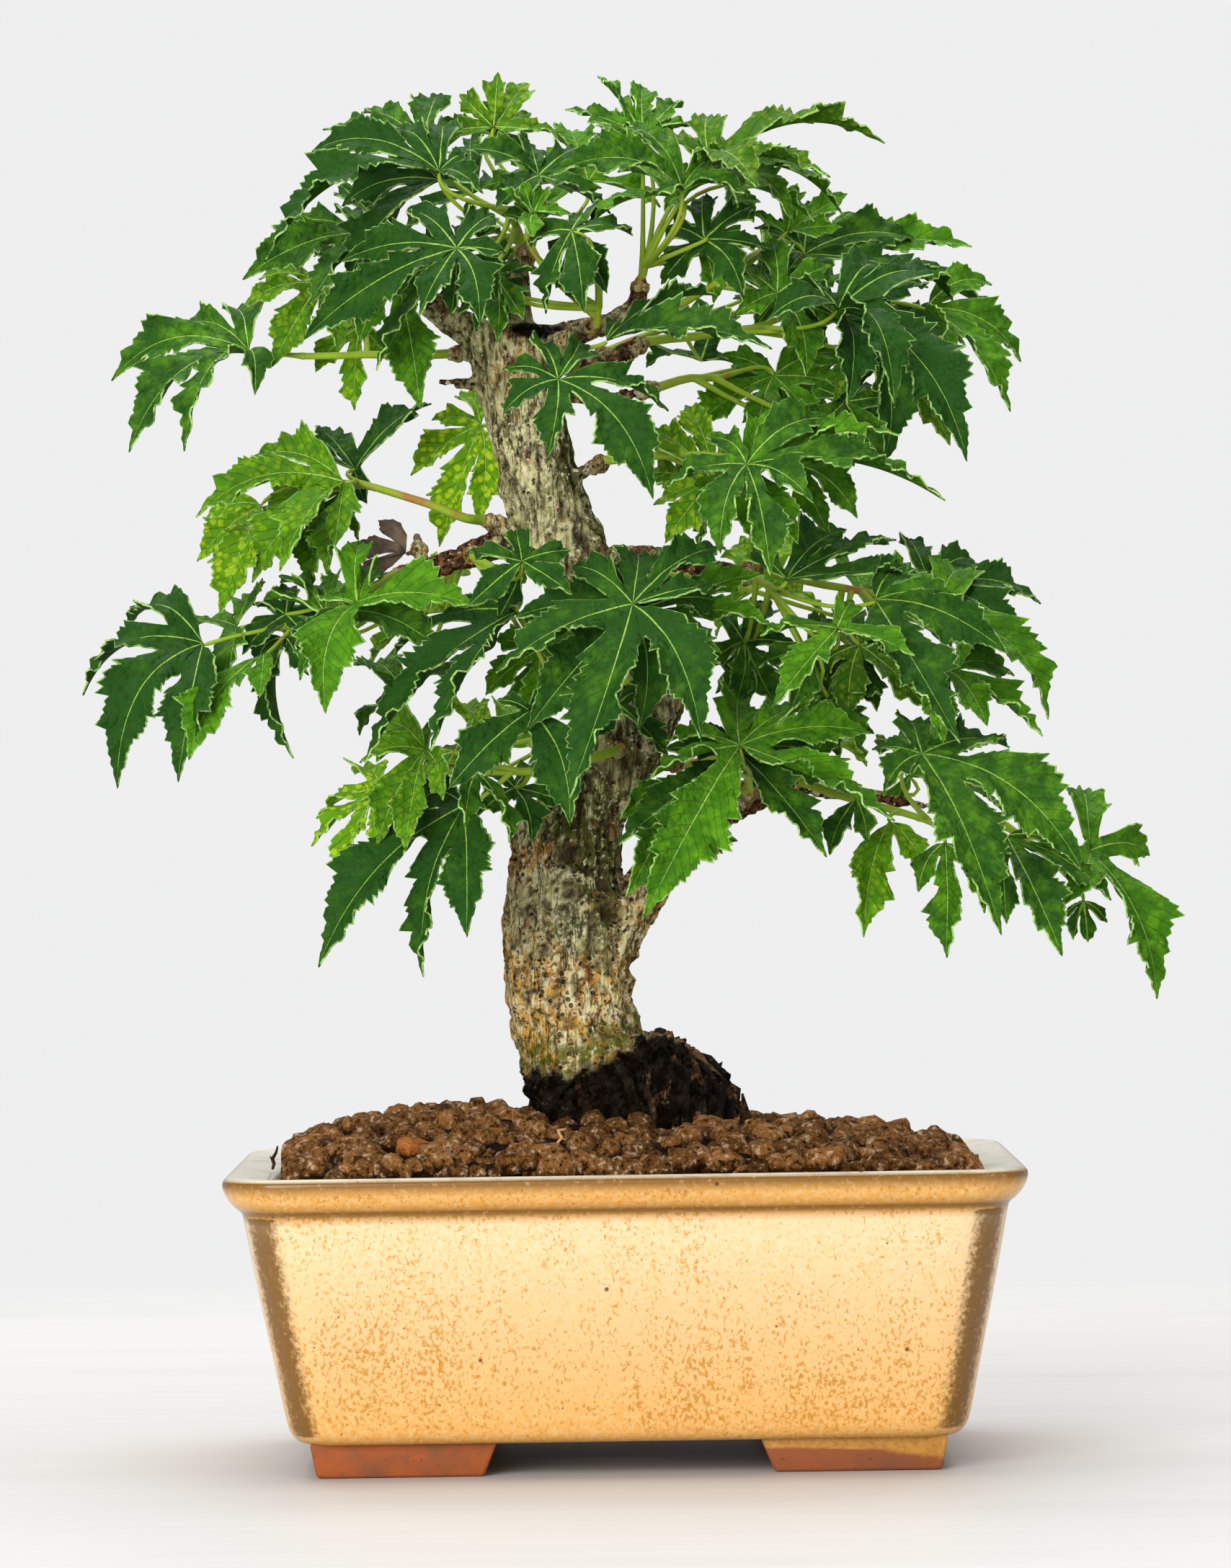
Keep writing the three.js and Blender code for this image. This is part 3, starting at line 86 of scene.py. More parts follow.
# Where each spray leaves the wood, its stem, and its leaves: (hub, arch, youth, lobe tips clockwise
# from the front). Every point is (across, height, depth) in mm, as it is seen at the trunk's depth.
# A youth of -1 stands for an old, dark leaf.
SPRAYS = {
    "crown_left": {
        "twig": [(-16.8, 212, -0.6), (-16.4, 218, -1)],
        "stem": [(-18, 226, -6)],
        "leaves": [
            ((-31, 233, -14), 0.3, -1, [(-63, 217, -24), (-54, 237, -4), (-40, 239, 0),
                (-30, 241, 2), (-25, 236, -10), (-23, 229, -22)]),
            ((-34, 238, 6), 0.16, 0, [(-52, 241, 8), (-45, 244, 16), (-31, 247, 22), (-27, 241, 16)]),
            ((-28, 219, -30), 0.16, -1, [(-24, 205, -42), (-35, 207, -40), (-56, 203, -40),
                (-49, 217, -32), (-37, 226, -20), (-21, 225, -20), (-19, 218, -30)]),
            ((-39, 214, -12), 0.12, 0, [(-32, 211, -18), (-35, 190, -24), (-46, 202, -18), (-50, 212, -4)]),
        ],
    },
    "crown_top": {
        "twig": [(-16.8, 214, 0), (-15.2, 217.2, 3.6)],
        "stem": [(-12, 227, 8)],
        "leaves": [
            ((-21, 241, 16), 0.1, 0.35, [(-32, 240, 26), (-27, 247, 24), (-20, 251, 20),
                (-15, 249, 26), (-9, 240, 14)]),
            ((-13, 232, -4), 0.16, 0, [(-21, 226, -16), (-26, 237, -8), (-15, 238, 8),
                (-5, 237, 6), (0, 225, -9)]),
            ((-24, 221, -10), 0.1, 0, [(-28, 225, -14), (-26, 228, -8), (-22, 227, -8), (-20, 223, -12)]),
        ],
    },
    "crown_front": {
        "twig": [(-6, 203.6, -1), (-3.4, 204.6, -8.2)],
        "stem": [(-2.4, 208, -10.5)],
        "leaves": [
            ((-7, 222, -22), 0.16, -1, [(-5, 207, -34), (-12, 207, -26), (-15, 219, -16),
                (-2, 225, -10), (4, 221, -16)]),
            ((-14, 225, -16), 0.1, 0, [(-20, 230, -20), (-16, 231, -14), (-11, 230, -12),
                (-7, 225, -18), (-14, 221, -24)]),
            ((-21, 214, -18), 0.12, 0, [(-21, 202, -28), (-28, 207, -24), (-27, 217, -14),
                (-20, 221, -10), (-13, 215, -14), (-16, 206, -26)]),
        ],
    },
    "crown_far_left": {
        "twig": [(-21, 216, 4), (-28.4, 217.8, 5.8)],
        "stem": [(-38, 220, 8)],
        "leaves": [
            ((-45, 222, -2), 0.16, 0, [(-55, 209, -20), (-67, 214, -14), (-59, 224, 0), (-50, 226, 8)]),
            ((-53, 213, 0), 0.14, 0.3, [(-50, 201, -10), (-62, 198, -8), (-67, 209, -4), (-64, 214, 2)]),
            ((-43, 225, 12), 0.1, 0, [(-49, 231, 20), (-45, 232, 30), (-38, 230, 22)]),
        ],
    },
    "crown_right": {
        "twig": [(4.6, 208, 0), (5.1, 211.4, 0)],
        "stem": [(6.2, 215.5, -1)],
        "leaves": [
            ((13, 229, -14), 0.3, 0, [(8, 228, -22), (-11, 232, -26), (2, 241, -4), (18, 234, -6),
                (25, 228, -20)]),
            ((6, 239, 6), 0.12, 0, [(-8, 244, 8), (-2, 250, 16), (6, 248, 20), (12, 245, 20),
                (15, 241, 12)]),
            ((18, 233, 0), 0.28, 0.25, [(8, 239, 4), (18, 242, 12), (50, 237, 6), (40, 231, -12),
                (27, 229, -24)]),
            ((21, 230, 14), 0.14, 0, [(26, 235, 22), (37, 223, 10), (26, 223, 4)]),
            ((17, 220, -2), 0.12, 0, [(24, 209, -10), (9, 212, 2), (10, 222, 8), (17, 228, 10),
                (26, 226, 6), (29, 218, 0)]),
        ],
    },
    "crown_right_far": {
        "twig": [(0, 205, -1), (2.6, 204.6, -5.6)],
        "stem": [(12, 208, -3), (24, 215, 6)],
        "leaves": [
            ((32, 221, 14), 0.1, 0, [(25, 225, 14), (34, 230, 20), (43, 228, 20), (42, 222, 8)]),
            ((35, 217, 18), 0.16, 0, [(39, 226, 30), (56, 219, 28), (72, 204, 20), (39, 211, 10),
                (27, 214, 8), (26, 222, 18)]),
            ((30, 210, -2), 0.14, 0, [(35, 195, -14), (22, 206, -8), (21, 215, 4), (29, 220, 8),
                (40, 215, 2), (44, 204, -8)]),
        ],
    },
    "upper_right": {
        "twig": [(1, 199, 3), (4.8, 201, 5)],
        "stem": [(19, 203, 4), (27, 204, 0)],
        "leaves": [
            ((41, 207, -14), 0.34, -1, [(28, 205, -22), (33, 211, -8), (49, 213, 2), (62, 208, 4),
                (64, 179, -24), (51, 189, -34)]),
            ((57, 207, 2), 0.2, 0, [(69, 211, 10), (74, 197, 6), (72, 188, -8), (62, 194, -12)]),
            ((48, 197, 2), 0.2, 0.3, [(58, 198, 10), (61, 182, -4), (50, 186, -6), (40, 190, -4)]),
        ],
    },
    "upper_right_under": {
        "twig": [(-1, 191, 4), (6.6, 193, 4.8)],
        "stem": [(14, 195, 6), (20, 195, 8)],
        "leaves": [
            ((29, 195, 12), 0.08, 0, [(43, 199, 26), (46, 191, 18), (37, 185, 6), (26, 184, 0),
                (14, 185, 2), (19, 199, 14)]),
            ((42, 190, -2), 0.14, 0, [(34, 182, -10), (36, 193, 4), (45, 198, 8), (53, 190, 2),
                (49, 179, -10)]),
        ],
    },
    "front_upper": {
        "twig": [(-14, 202, -2), (-8.2, 202.4, -12.4)],
        "stem": [(-6, 200, -22)],
        "leaves": [
            ((-10, 195, -34), 0.18, -1, [(10, 189, -34), (7, 173, -46), (-12, 181, -44),
                (-20, 189, -40), (-20, 197, -32), (-15, 202, -22), (-6, 202, -20)]),
            ((-1, 202, -20), 0.16, 0, [(4, 206, -12), (19, 210, -10), (29, 200, -32)]),
        ],
    },
    "right_mid": {
        "twig": [(-4, 179, -3), (-2.6, 179.6, -3.7)],
        "stem": [(6, 181, -12), (15, 181, -20)],
        "leaves": [
            ((24, 179, -38), 0.16, 0, [(40, 187, -26), (60, 172, -42), (36, 172, -50),
                (28, 159, -54), (19, 163, -52), (9, 175, -42), (17, 184, -28)]),
            ((18, 176, -22), 0.12, 0.55, [(9, 165, -26), (7, 172, -20), (6, 186, -8), (13, 190, -4),
                (20, 184, -8)]),
            ((32, 179, -18), 0.2, 0, [(47, 179, -10), (44, 169, -26), (39, 166, -24)]),
        ],
    },
    "right_bough": {
        "twig": [(18, 160, -6), (23.6, 158.8, -9.4)],
        "stem": [(28, 157, -16)],
        "leaves": [
            ((31, 158, -24), 0.1, 0, [(25, 164, -14), (42, 167, -6), (51, 165, -10), (57, 159, -20)]),
            ((40, 149, -42), 0.14, 0, [(28, 135, -54), (26, 148, -42), (43, 154, -34), (54, 144, -52)]),
            ((47, 154, -30), 0.18, 0, [(53, 160, -20), (63, 153, -32), (71, 144, -44), (62, 128, -54)]),
            ((23, 147, -8), 0.14, 0, [(21, 135, -18), (15, 142, -10), (18, 152, 0), (27, 154, 4),
                (33, 146, -4), (29, 134, -16)]),
            ((38, 137, -14), 0.14, 0, [(35, 124, -24), (30, 133, -18), (31, 142, -8),
                (42, 145, -4), (48, 137, -14), (45, 126, -24)]),
        ],
    },
    "right_bough_far": {
        "twig": [(16, 160, -5), (25, 160, -0.6)],
        "stem": [(38, 157, -2), (48, 155, -6)],
        "leaves": [
            ((57, 156, -6), 0.24, 0, [(53, 165, 6), (65, 161, 8), (77, 153, 2), (74, 144, -12)]),
            ((58, 151, -16), 0.3, 0, [(64, 158, 2), (78, 132, -18), (62, 141, -32)]),
            ((60, 141, -20), 0.12, 0, [(72, 140, -8), (77, 129, -28), (67, 131, -36), (59, 128, -36)]),
            ((44, 146, -8), 0.14, 0.3, [(42, 152, 4), (55, 143, -8), (57, 133, -18), (42, 132, -18),
                (34, 138, -12)]),
        ],
    },
    "front_mid": {
        "twig": [(5, 141, 0), (9.6, 142, -12.6)],
        "stem": [(9, 145, -28)],
        "leaves": [
            ((3, 154, -48), 0.18, -1, [(15, 129, -64), (-9, 119, -64), (-22, 142, -54),
                (-8, 161, -34), (4, 163, -26), (20, 164, -34), (20, 157, -44)]),
            ((10, 152, -26), 0.1, 0, [(27, 159, -28), (28, 150, -34), (19, 145, -32)]),
            ((0, 136, -22), 0.08, 0, [(5, 138, -16), (9, 126, -26), (-4, 130, -26)]),
        ],
    },
    "left_front": {
        "twig": [(-26, 164, -10), (-26, 163.4, -14.5)],
        "stem": [(-22, 161, -26)],
        "leaves": [
            ((-17, 162, -42), 0.1, -1, [(-27, 154, -50), (-27, 164, -42), (-18, 168, -34),
                (-8, 164, -40), (-8, 156, -48)]),
            ((-18, 153, -36), 0.16, -1, [(-34, 128, -52), (-46, 126, -40), (-41, 145, -22),
                (-29, 154, -28)]),
            ((-16, 135, -46), 0.12, 0, [(-9, 114, -60), (-31, 121, -56), (-22, 137, -48), (-12, 140, -46)]),
            ((-14, 146, -24), 0.12, 0, [(-17, 132, -34), (-24, 138, -28), (-22, 148, -18),
                (-13, 153, -12), (-4, 147, -18), (-6, 135, -32)]),
        ],
    },
    "left_low": {
        "twig": [(-34, 161, -10.4), (-38.6, 160.4, -12.6)],
        "stem": [(-44, 158, -22)],
        "leaves": [
            ((-47, 155, -34), 0.18, 0, [(-54, 156, -28), (-46, 166, -22), (-43, 162, -22),
                (-25, 154, -46), (-53, 135, -50)]),
            ((-53, 153, -20), 0.2, 0, [(-64, 156, -12), (-61, 159, -4), (-54, 158, -4)]),
            ((-60, 153, -10), 0.16, 0, [(-55, 144, -20), (-68, 146, -16), (-66, 155, -6),
                (-59, 158, -2), (-52, 153, -8)]),
        ],
    },
    "left_low_far": {
        "twig": [(-32, 162, -9), (-41, 159, -5)],
        "stem": [(-51, 153, -8), (-60, 151, -12)],
        "leaves": [
            ((-75, 148, -18), 0.34, -1, [(-80, 123, -34), (-91, 122, -28), (-97, 139, -15), (-89, 151, -4)]),
            ((-64, 146, -22), 0.12, 0, [(-65, 138, -34), (-78, 127, -38)]),
            ((-60, 149, -14), 0.3, 0, [(-56, 142, -20), (-59, 127, -22), (-64, 142, -8)]),
            ((-69, 151, -8), 0.16, 0, [(-71, 139, -22), (-77, 151, 4), (-65, 157, 6)]),
        ],
    },
    "left_bough": {
        "twig": [(-20, 200, 1), (-28, 200, 0)],
        "stem": [(-39, 200, -2), (-56, 200, -4)],
        "leaves": [
            ((-66, 201, -6), 0.3, 0, [(-65, 193, -16), (-78, 183, -26), (-88, 183, -22),
                (-91, 196, -6), (-81, 203, 6), (-69, 208, 8)]),
            ((-46, 205, 6), 0.1, 0.4, [(-41, 199, 2), (-47, 190, 0), (-54, 197, 4), (-55, 206, 14)]),
        ],
    },
    "left_mid": {
        "twig": [(-16, 168, -3), (-22.6, 169.4, -6.8)],
        "stem": [(-27, 170, -12), (-34, 173, -14), (-47, 177, -12)],
        "leaves": [
            ((-49, 177, -18), 0.22, 0.25, [(-51, 165, -28), (-61, 161, -36), (-66, 159, -14),
                (-76, 171, -18), (-67, 181, -6)]),
            ((-47, 179, 0), 0.14, 0, [(-61, 185, 4), (-54, 187, 12), (-33, 191, 10), (-45, 173, -6)]),
            ((-64, 173, -2), 0.14, 0.7, [(-72, 153, -16), (-76, 163, -6), (-74, 171, 4)]),
            ((-56, 174, -6), 0.2, 0, [(-52, 161, -14), (-59, 167, -10)]),
        ],
    },
    "back_left_leaf": {
        "twig": [(-17, 185, 0), (-19.4, 185.6, 11.6)],
        "stem": [(-20, 187, 17)],
        "leaves": [
            ((-24, 187, 18), 0.12, 0.95, [(-25, 169, 8), (-32, 165, 10), (-37, 178, 16),
                (-33, 188, 24), (-27, 193, 28)]),
        ],
    },
    "low_left": {
        "twig": [(0, 128, 0), (-0.4, 127.6, -12)],
        "stem": [(-12, 124, -24), (-23, 124, -30)],
        "leaves": [
            ((-35, 128, -28), 0.14, 0.2, [(-32, 119, -42), (-39, 110, -44), (-44, 111, -36),
                (-47, 126, -24), (-43, 133, -14)]),
            ((-43, 121, -14), 0.14, 0.8, [(-44, 110, -28), (-51, 103, -24), (-56, 111, -18),
                (-55, 116, -12), (-48, 124, 0)]),
            ((-28, 118, -32), 0.2, -1, [(-28, 94, -48), (-36, 87, -36), (-55, 89, -42), (-37, 117, -16)]),
            ((-26, 124, -40), 0.12, 0, [(-20, 111, -48), (-28, 114, -50)]),
            ((-19, 121, -20), 0.12, 0, [(-16, 111, -30), (-26, 116, -26), (-24, 125, -16),
                (-15, 126, -12), (-9, 118, -22)]),
        ],
    },
    "right_low": {
        "twig": [(23, 118, -5), (23.4, 119.4, -9)],
        "stem": [(23, 125, -22)],
        "leaves": [
            ((22, 128, -38), 0.16, 0, [(4, 97, -58), (5, 122, -46), (8, 129, -34), (22, 137, -16),
                (38, 135, -24), (46, 130, -36), (50, 114, -54)]),
            ((13, 122, -24), 0.1, 0, [(1, 101, -34), (0, 115, -28)]),
            ((35, 145, -16), 0.1, 0, [(31, 134, -22), (25, 142, -18), (37, 152, -8)]),
            ((15.6, 112.6, -10), 0.05, 0, [(14, 108.3, -12), (18.6, 108.6, -12), (21.4, 110.8, -10)]),
        ],
    },
    "right_low_far": {
        "twig": [(27, 120, -5), (31, 121, -5)],
        "stem": [(43, 118, -10), (56, 114, -14)],
        "leaves": [
            ((55, 126, -34), 0.2, 0, [(46, 127, -30), (53, 132, -18), (71, 127, -22),
                (84, 104, -44), (69, 93, -54), (48, 119, -42)]),
            ((49, 114, -18), 0.12, 0.3, [(55, 105, -22), (44, 93, -28)]),
            ((59, 110, -24), 0.12, 0, [(66, 97, -34), (59, 89, -36), (54, 101, -30)]),
            ((43, 118, -20), 0.12, 0, [(45, 110, -28), (38, 108, -28)]),
        ],
    },
    "right_low_end": {
        "twig": [(48, 118, -1), (60, 116, -5)],
        "stem": [(70, 113, -12)],
        "leaves": [
            ((85, 108, -18), 0.26, 0, [(80, 98, -34), (84, 119, -2), (96, 107, -8), (97, 81, -22)]),
            ((70, 111, -30), 0.14, 0, [(82, 108, -30), (89, 99, -30), (80, 89, -46), (70, 95, -42)]),
            ((84, 99, -20), 0.1, 0, [(80.6, 96.4, -20), (82, 92, -22), (84.6, 91.4, -22), (88.2, 95, -20)]),
        ],
    },
    "back_top": {
        "twig": [(-16.8, 208, 1), (-16.9, 211, 9.6)],
        "stem": [(-16, 221, 26)],
        "leaves": [
            ((-25, 229, 40), 0.2, 0, [(-38, 221, 47), (-37, 233, 55), (-25, 239, 59), (-17, 231, 54)]),
            ((-4, 231, 38), 0.2, 0, [(-12, 225, 40), (-8, 240, 55), (7, 238, 58), (9, 226, 47)]),
            ((-38, 215, 36), 0.2, 0, [(-50, 207, 43), (-54, 218, 50), (-46, 225, 55)]),
        ],
    },
    "back_right": {
        "twig": [(-2, 198, 3), (-1.8, 199.4, 10.6)],
        "stem": [(14, 206, 34)],
        "leaves": [
            ((27, 211, 43), 0.2, 0, [(19, 214, 54), (30, 220, 61), (43, 211, 58), (36, 200, 47)]),
            ((45, 204, 30), 0.2, 0, [(57, 211, 47), (64, 200, 43), (43, 198, 24)]),
            ((16, 198, 44), 0.2, 0, [(6, 197, 54), (20, 206, 65), (27, 193, 54)]),
        ],
    },
    "back_left": {
        "twig": [(-11, 168, 2), (-19, 168, 11.5)],
        "stem": [(-29, 161, 30)],
        "leaves": [
            ((-34, 153, 38), 0.2, 0.7, [(-45, 143, 44), (-42, 157, 54), (-31, 161, 61), (-22, 149, 51)]),
            ((-39, 139, 20), 0.2, 0, [(-42, 128, 14), (-47, 131, 26), (-45, 143, 40), (-29, 140, 34)]),
            ((-50, 149, 16), 0.2, 0, [(-58, 143, 16), (-60, 152, 28), (-51, 159, 34), (-39, 152, 32)]),
        ],
    },
    "back_mid_right": {
        "twig": [(-3, 157, 2), (1.8, 159, 11.4)],
        "stem": [(18, 159, 30)],
        "leaves": [
            ((26, 157, 43), 0.2, 0.6, [(18, 148, 50), (21, 164, 58), (34, 164, 61), (38, 151, 51)]),
            ((46, 152, 24), 0.2, 0, [(44, 140, 20), (42, 161, 43), (55, 158, 46), (61, 145, 36)]),
        ],
    },
    "back_low_right": {
        "twig": [(0, 127, 2), (10, 124.8, 11.4)],
        "stem": [(22, 127, 28)],
        "leaves": [
            ((32, 129, 36), 0.2, 0.5, [(26, 122, 43), (29, 135, 54), (42, 135, 55), (45, 124, 46)]),
            ((53, 122, 16), 0.2, 0, [(49, 115, 14), (49, 128, 34), (64, 127, 40), (70, 115, 26)]),
        ],
    },
    "back_low_left": {
        "twig": [(3, 132, 2), (-1.2, 132, 13.4)],
        "stem": [(-11, 131, 30)],
        "leaves": [
            ((-23, 129, 36), 0.2, 0.6, [(-32, 122, 43), (-29, 136, 52), (-16, 137, 55), (-12, 127, 47)]),
            ((-34, 123, 12), 0.2, 0, [(-36, 114, 8), (-42, 119, 18), (-40, 131, 30), (-27, 129, 32)]),
        ],
    },
    "dried_leaf": {
        "twig": [(-35, 161.4, -10), (-35.6, 164.4, -7.6)],
        "stem": [(-36, 167, -5)],
        "leaves": [
            ((-38, 164, -6), 0.12, 0, [(-47, 161, -2), (-48, 166, -8), (-43, 170, -4)]),
        ],
    },
}


def seen(point):
    """A point given as (across, height, depth) in the picture plane of the trunk, in mm."""
    across, height, depth = point
    scale = 1 - depth / EYE.y
    return Vector((EYE.x + (across - EYE.x) * scale, depth, EYE.z + (height - EYE.z) * scale))


def smoothstep(low, high, value):
    """A soft step from 0 at low to 1 at high, downwards where low is more than high."""
    share = min(max((value - low) / (high - low), 0.0), 1.0)
    return share * share * (3 - 2 * share)


def quadratic(start, knee, end, t):
    """A point on the arc from start to end that bends towards the knee."""
    return start * (1 - t) ** 2 + knee * (2 * t * (1 - t)) + end * t * t


# Materials

SOIL_SHADOW = (0.02, 0.009, 0.006)
PIN_HOLE = (0.06, 0.022, 0.005)
BLACK_PLASTIC = (0.02, 0.02, 0.02)
WORN_BOARD = (0.86, 0.86, 0.86)
VEIN_SPACING = 2.6  # mm
BLADE_SPAN = 100.0  # mm of a blade that its map covers
MIX_SHARE, MIX_UNDER, MIX_OVER, MIX_RESULT = 0, 6, 7, 2  # sockets of a mix node for colours


class Value:
    """What one output of a node gives, for use in sums."""

    def __init__(self, shade, socket):
        self.shade, self.socket = shade, socket

    def __add__(self, other):
        return self.shade.math("ADD", self, other)

    def __sub__(self, other):
        return self.shade.math("SUBTRACT", self, other)

    def __rsub__(self, other):
        return self.shade.math("SUBTRACT", other, self)

    def __mul__(self, other):
        return self.shade.math("MULTIPLY", self, other)

    def __truediv__(self, other):
        return self.shade.math("DIVIDE", self, other)

    def __abs__(self):
        return self.shade.math("ABSOLUTE", self)

    def clamped(self):
        """The same sum, held between 0 and 1."""
        self.socket.node.use_clamp = True
        return self

    def beside(self, output):
        """Another output of the same node."""
        return Value(self.shade, self.socket.node.outputs[output])

    def band(self, low, high):
        """0 below low and 1 above high, or the other way round where low is more than high."""
        falls = low > high
        ends = {"From Min": min(low, high), "From Max": max(low, high),
                "To Min": float(falls), "To Max": float(not falls)}
        return self.shade.add("ShaderNodeMapRange", "Result", {"Value": self, **ends},
                              interpolation_type="SMOOTHSTEP")


class Shade:
    """One procedural material, laid out node by node."""

    def __init__(self, name):
        self.material = bpy.data.materials.get(name) or bpy.data.materials.new(name)
        self.material.use_nodes = True
        self.tree = self.material.node_tree
        self.tree.nodes.clear()
        output = self.tree.nodes.new("ShaderNodeOutputMaterial")
        self.surface = self.tree.nodes.new("ShaderNodeBsdfPrincipled")
        self.tree.links.new(self.surface.outputs[0], output.inputs["Surface"])
        self.place = self.add("ShaderNodeTexCoord", "Object", {})

    def put(self, target, value):
        """Fill an input with a number, a colour or what another node gives."""
        if isinstance(value, Value):
            self.tree.links.new(value.socket, target)
        elif target.type == "RGBA":
            target.default_value = (*value, 1.0)
        else:
            target.default_value = value

    def add(self, kind, output, inputs, **settings):
        """A new node with its settings and inputs, as the value of one of its outputs."""
        node = self.tree.nodes.new(kind)
        for key, value in settings.items():
            setattr(node, key, value)
        for key, value in inputs.items():
            self.put(node.inputs[key], value)
        return Value(self, node.outputs[output])

    def math(self, operation, a, b=0.0):
        """One sum of two values."""
        return self.add("ShaderNodeMath", 0, {0: a, 1: b}, operation=operation)

    def stretch(self, *scale):
        """The place with each axis scaled, which draws a pattern out into streaks."""
        return self.add("ShaderNodeMapping", 0, {"Vector": self.place, "Scale": scale})

    def noise(self, scale, detail=3.0, rough=0.55, vector=None, warp=0.0):
        """Clouds with this many swells to the metre."""
        inputs = {"Vector": vector or self.place, "Scale": scale, "Detail": detail,
                  "Roughness": rough, "Distortion": warp}
        return self.add("ShaderNodeTexNoise", "Fac", inputs)

    def cells(self, scale):
        """How far away the nearest of many scattered points is."""
        return self.add("ShaderNodeTexVoronoi", "Distance", {"Vector": self.place, "Scale": scale})

    def mix(self, share, under, over, blend="MIX"):
        """One colour laid over another by a share from 0 to 1."""
        inputs = {MIX_SHARE: share, MIX_UNDER: under, MIX_OVER: over}
        return self.add("ShaderNodeMix", MIX_RESULT, inputs, data_type="RGBA", blend_type=blend)

    def tones(self, name):
        """The red, green and blue of a point attribute, and its fourth value."""
        colour = self.add("ShaderNodeAttribute", "Color", {}, attribute_name=name)
        red = self.add("ShaderNodeSeparateColor", 0, {0: colour})
        return red, red.beside(1), red.beside(2), colour.beside("Alpha")

    def finish(self, colour, roughness, bump=None, **others):
        """The material with its surface filled in; a bump is (height, strength, distance in m)."""
        for key, value in {"Base_Color": colour, "Roughness": roughness, **others}.items():
            self.put(self.surface.inputs[key.replace("_", " ")], value)
        if bump:
            inputs = dict(zip(("Height", "Strength", "Distance"), bump))
            self.put(self.surface.inputs["Normal"], self.add("ShaderNodeBump", 0, inputs))
        return self.material


def leaf_finish(colours):
    """Living leaf: fine midrib and a margin with a painted highlight, blistered between its veins, deep and
    young green.
    """
    s = Shade("maple leaf")
    youth, chance, edge, along = s.tones("leaf_look")
    flat = s.add("ShaderNodeSeparateXYZ", 0, {0: s.add("ShaderNodeUVMap", 0, {}, uv_map="blade")})
    across = abs((flat - 0.5) * BLADE_SPAN)
    length = flat.beside(1) * BLADE_SPAN
    mottle = s.noise(330.0, 5.0, 0.62)
    blister = s.cells(640.0).band(0.62, 0.2)
    depth = s.noise(80.0) * 0.5 + chance * 0.6
    colour = s.mix(depth.band(0.35, 0.85), colours.deep_green, colours.mid_green)
    pale = mottle.band(0.4, 0.72) * depth.band(0.2, 0.65)
    colour = s.mix(pale * 0.65, colour, colours.light_green)
    swollen = mottle * 0.5 + blister * 0.4
    young = s.mix(swollen.band(0.26, 0.62), colours.spring_green, colours.young_green)
    colour = s.mix(youth, colour, young)
    # Side veins leave the midrib at a slant, at even steps along it
    step = s.math("FRACT", (length - across * 1.15) * (1 / VEIN_SPACING))
    vein = abs(step - 0.5).band(0.45, 0.5)
    rib = (across / (1.2 - along)).band(0.24, 0.12)
    colour = s.mix(vein * 0.22, colour, colours.vein_green)
    colour = s.mix(rib * 0.85, colour, colours.vein_green)
    # Painted highlight: a thin pale line along the edge, broken by the mottle
    margin = edge.band(0.955, 0.995) * mottle.band(0.3, 0.6)
    colour = s.mix(margin * 0.8, colour, colours.margin_highlight)
    red = edge.band(0.7, 1.0) * s.noise(60.0).band(0.58, 0.7) * chance.band(0.6, 0.9)
    colour = s.mix(red * 0.3, colour, colours.tooth_red)
    height = mottle * 0.35 + blister * 0.3 - vein * 0.6 - rib
    return s.finish(colour, mottle * 0.3 + 0.3, (height, 0.8, 0.001), Specular_IOR_Level=0.03)


def stalk_finish(colours):
    """Leaf stalks and green stems, some of them reddish on one side."""
    s = Shade("leaf stalk")
    _, chance, _, _ = s.tones("leaf_look")
    streak = s.noise(700.0, vector=s.stretch(1, 1, 0.3))
    colour = s.mix(streak * 0.5, colours.stalk_green, colours.vein_green)
    blush = s.noise(110.0).band(0.5, 0.72) * chance.band(0.55, 1.0)
    colour = s.mix(blush, colour, colours.stalk_red)
    return s.finish(colour, streak * 0.25 + 0.33, (streak, 0.2, 0.0003), Specular_IOR_Level=0.08)


def dry_leaf_finish(colours):
    """A dead leaf: grey-brown, with darker creases."""
    s = Shade("dried leaf")
    _, _, edge, _ = s.tones("leaf_look")
    patches = s.noise(240.0, 5.0, 0.65)
    colour = s.mix(patches.band(0.35, 0.65), colours.dry_dark, colours.dry_light)
    colour = s.mix(edge.band(0.8, 1.0) * 0.5, colour, colours.dry_dark)
    return s.finish(colour, patches * 0.3 + 0.55, (patches, 0.6, 0.0008))


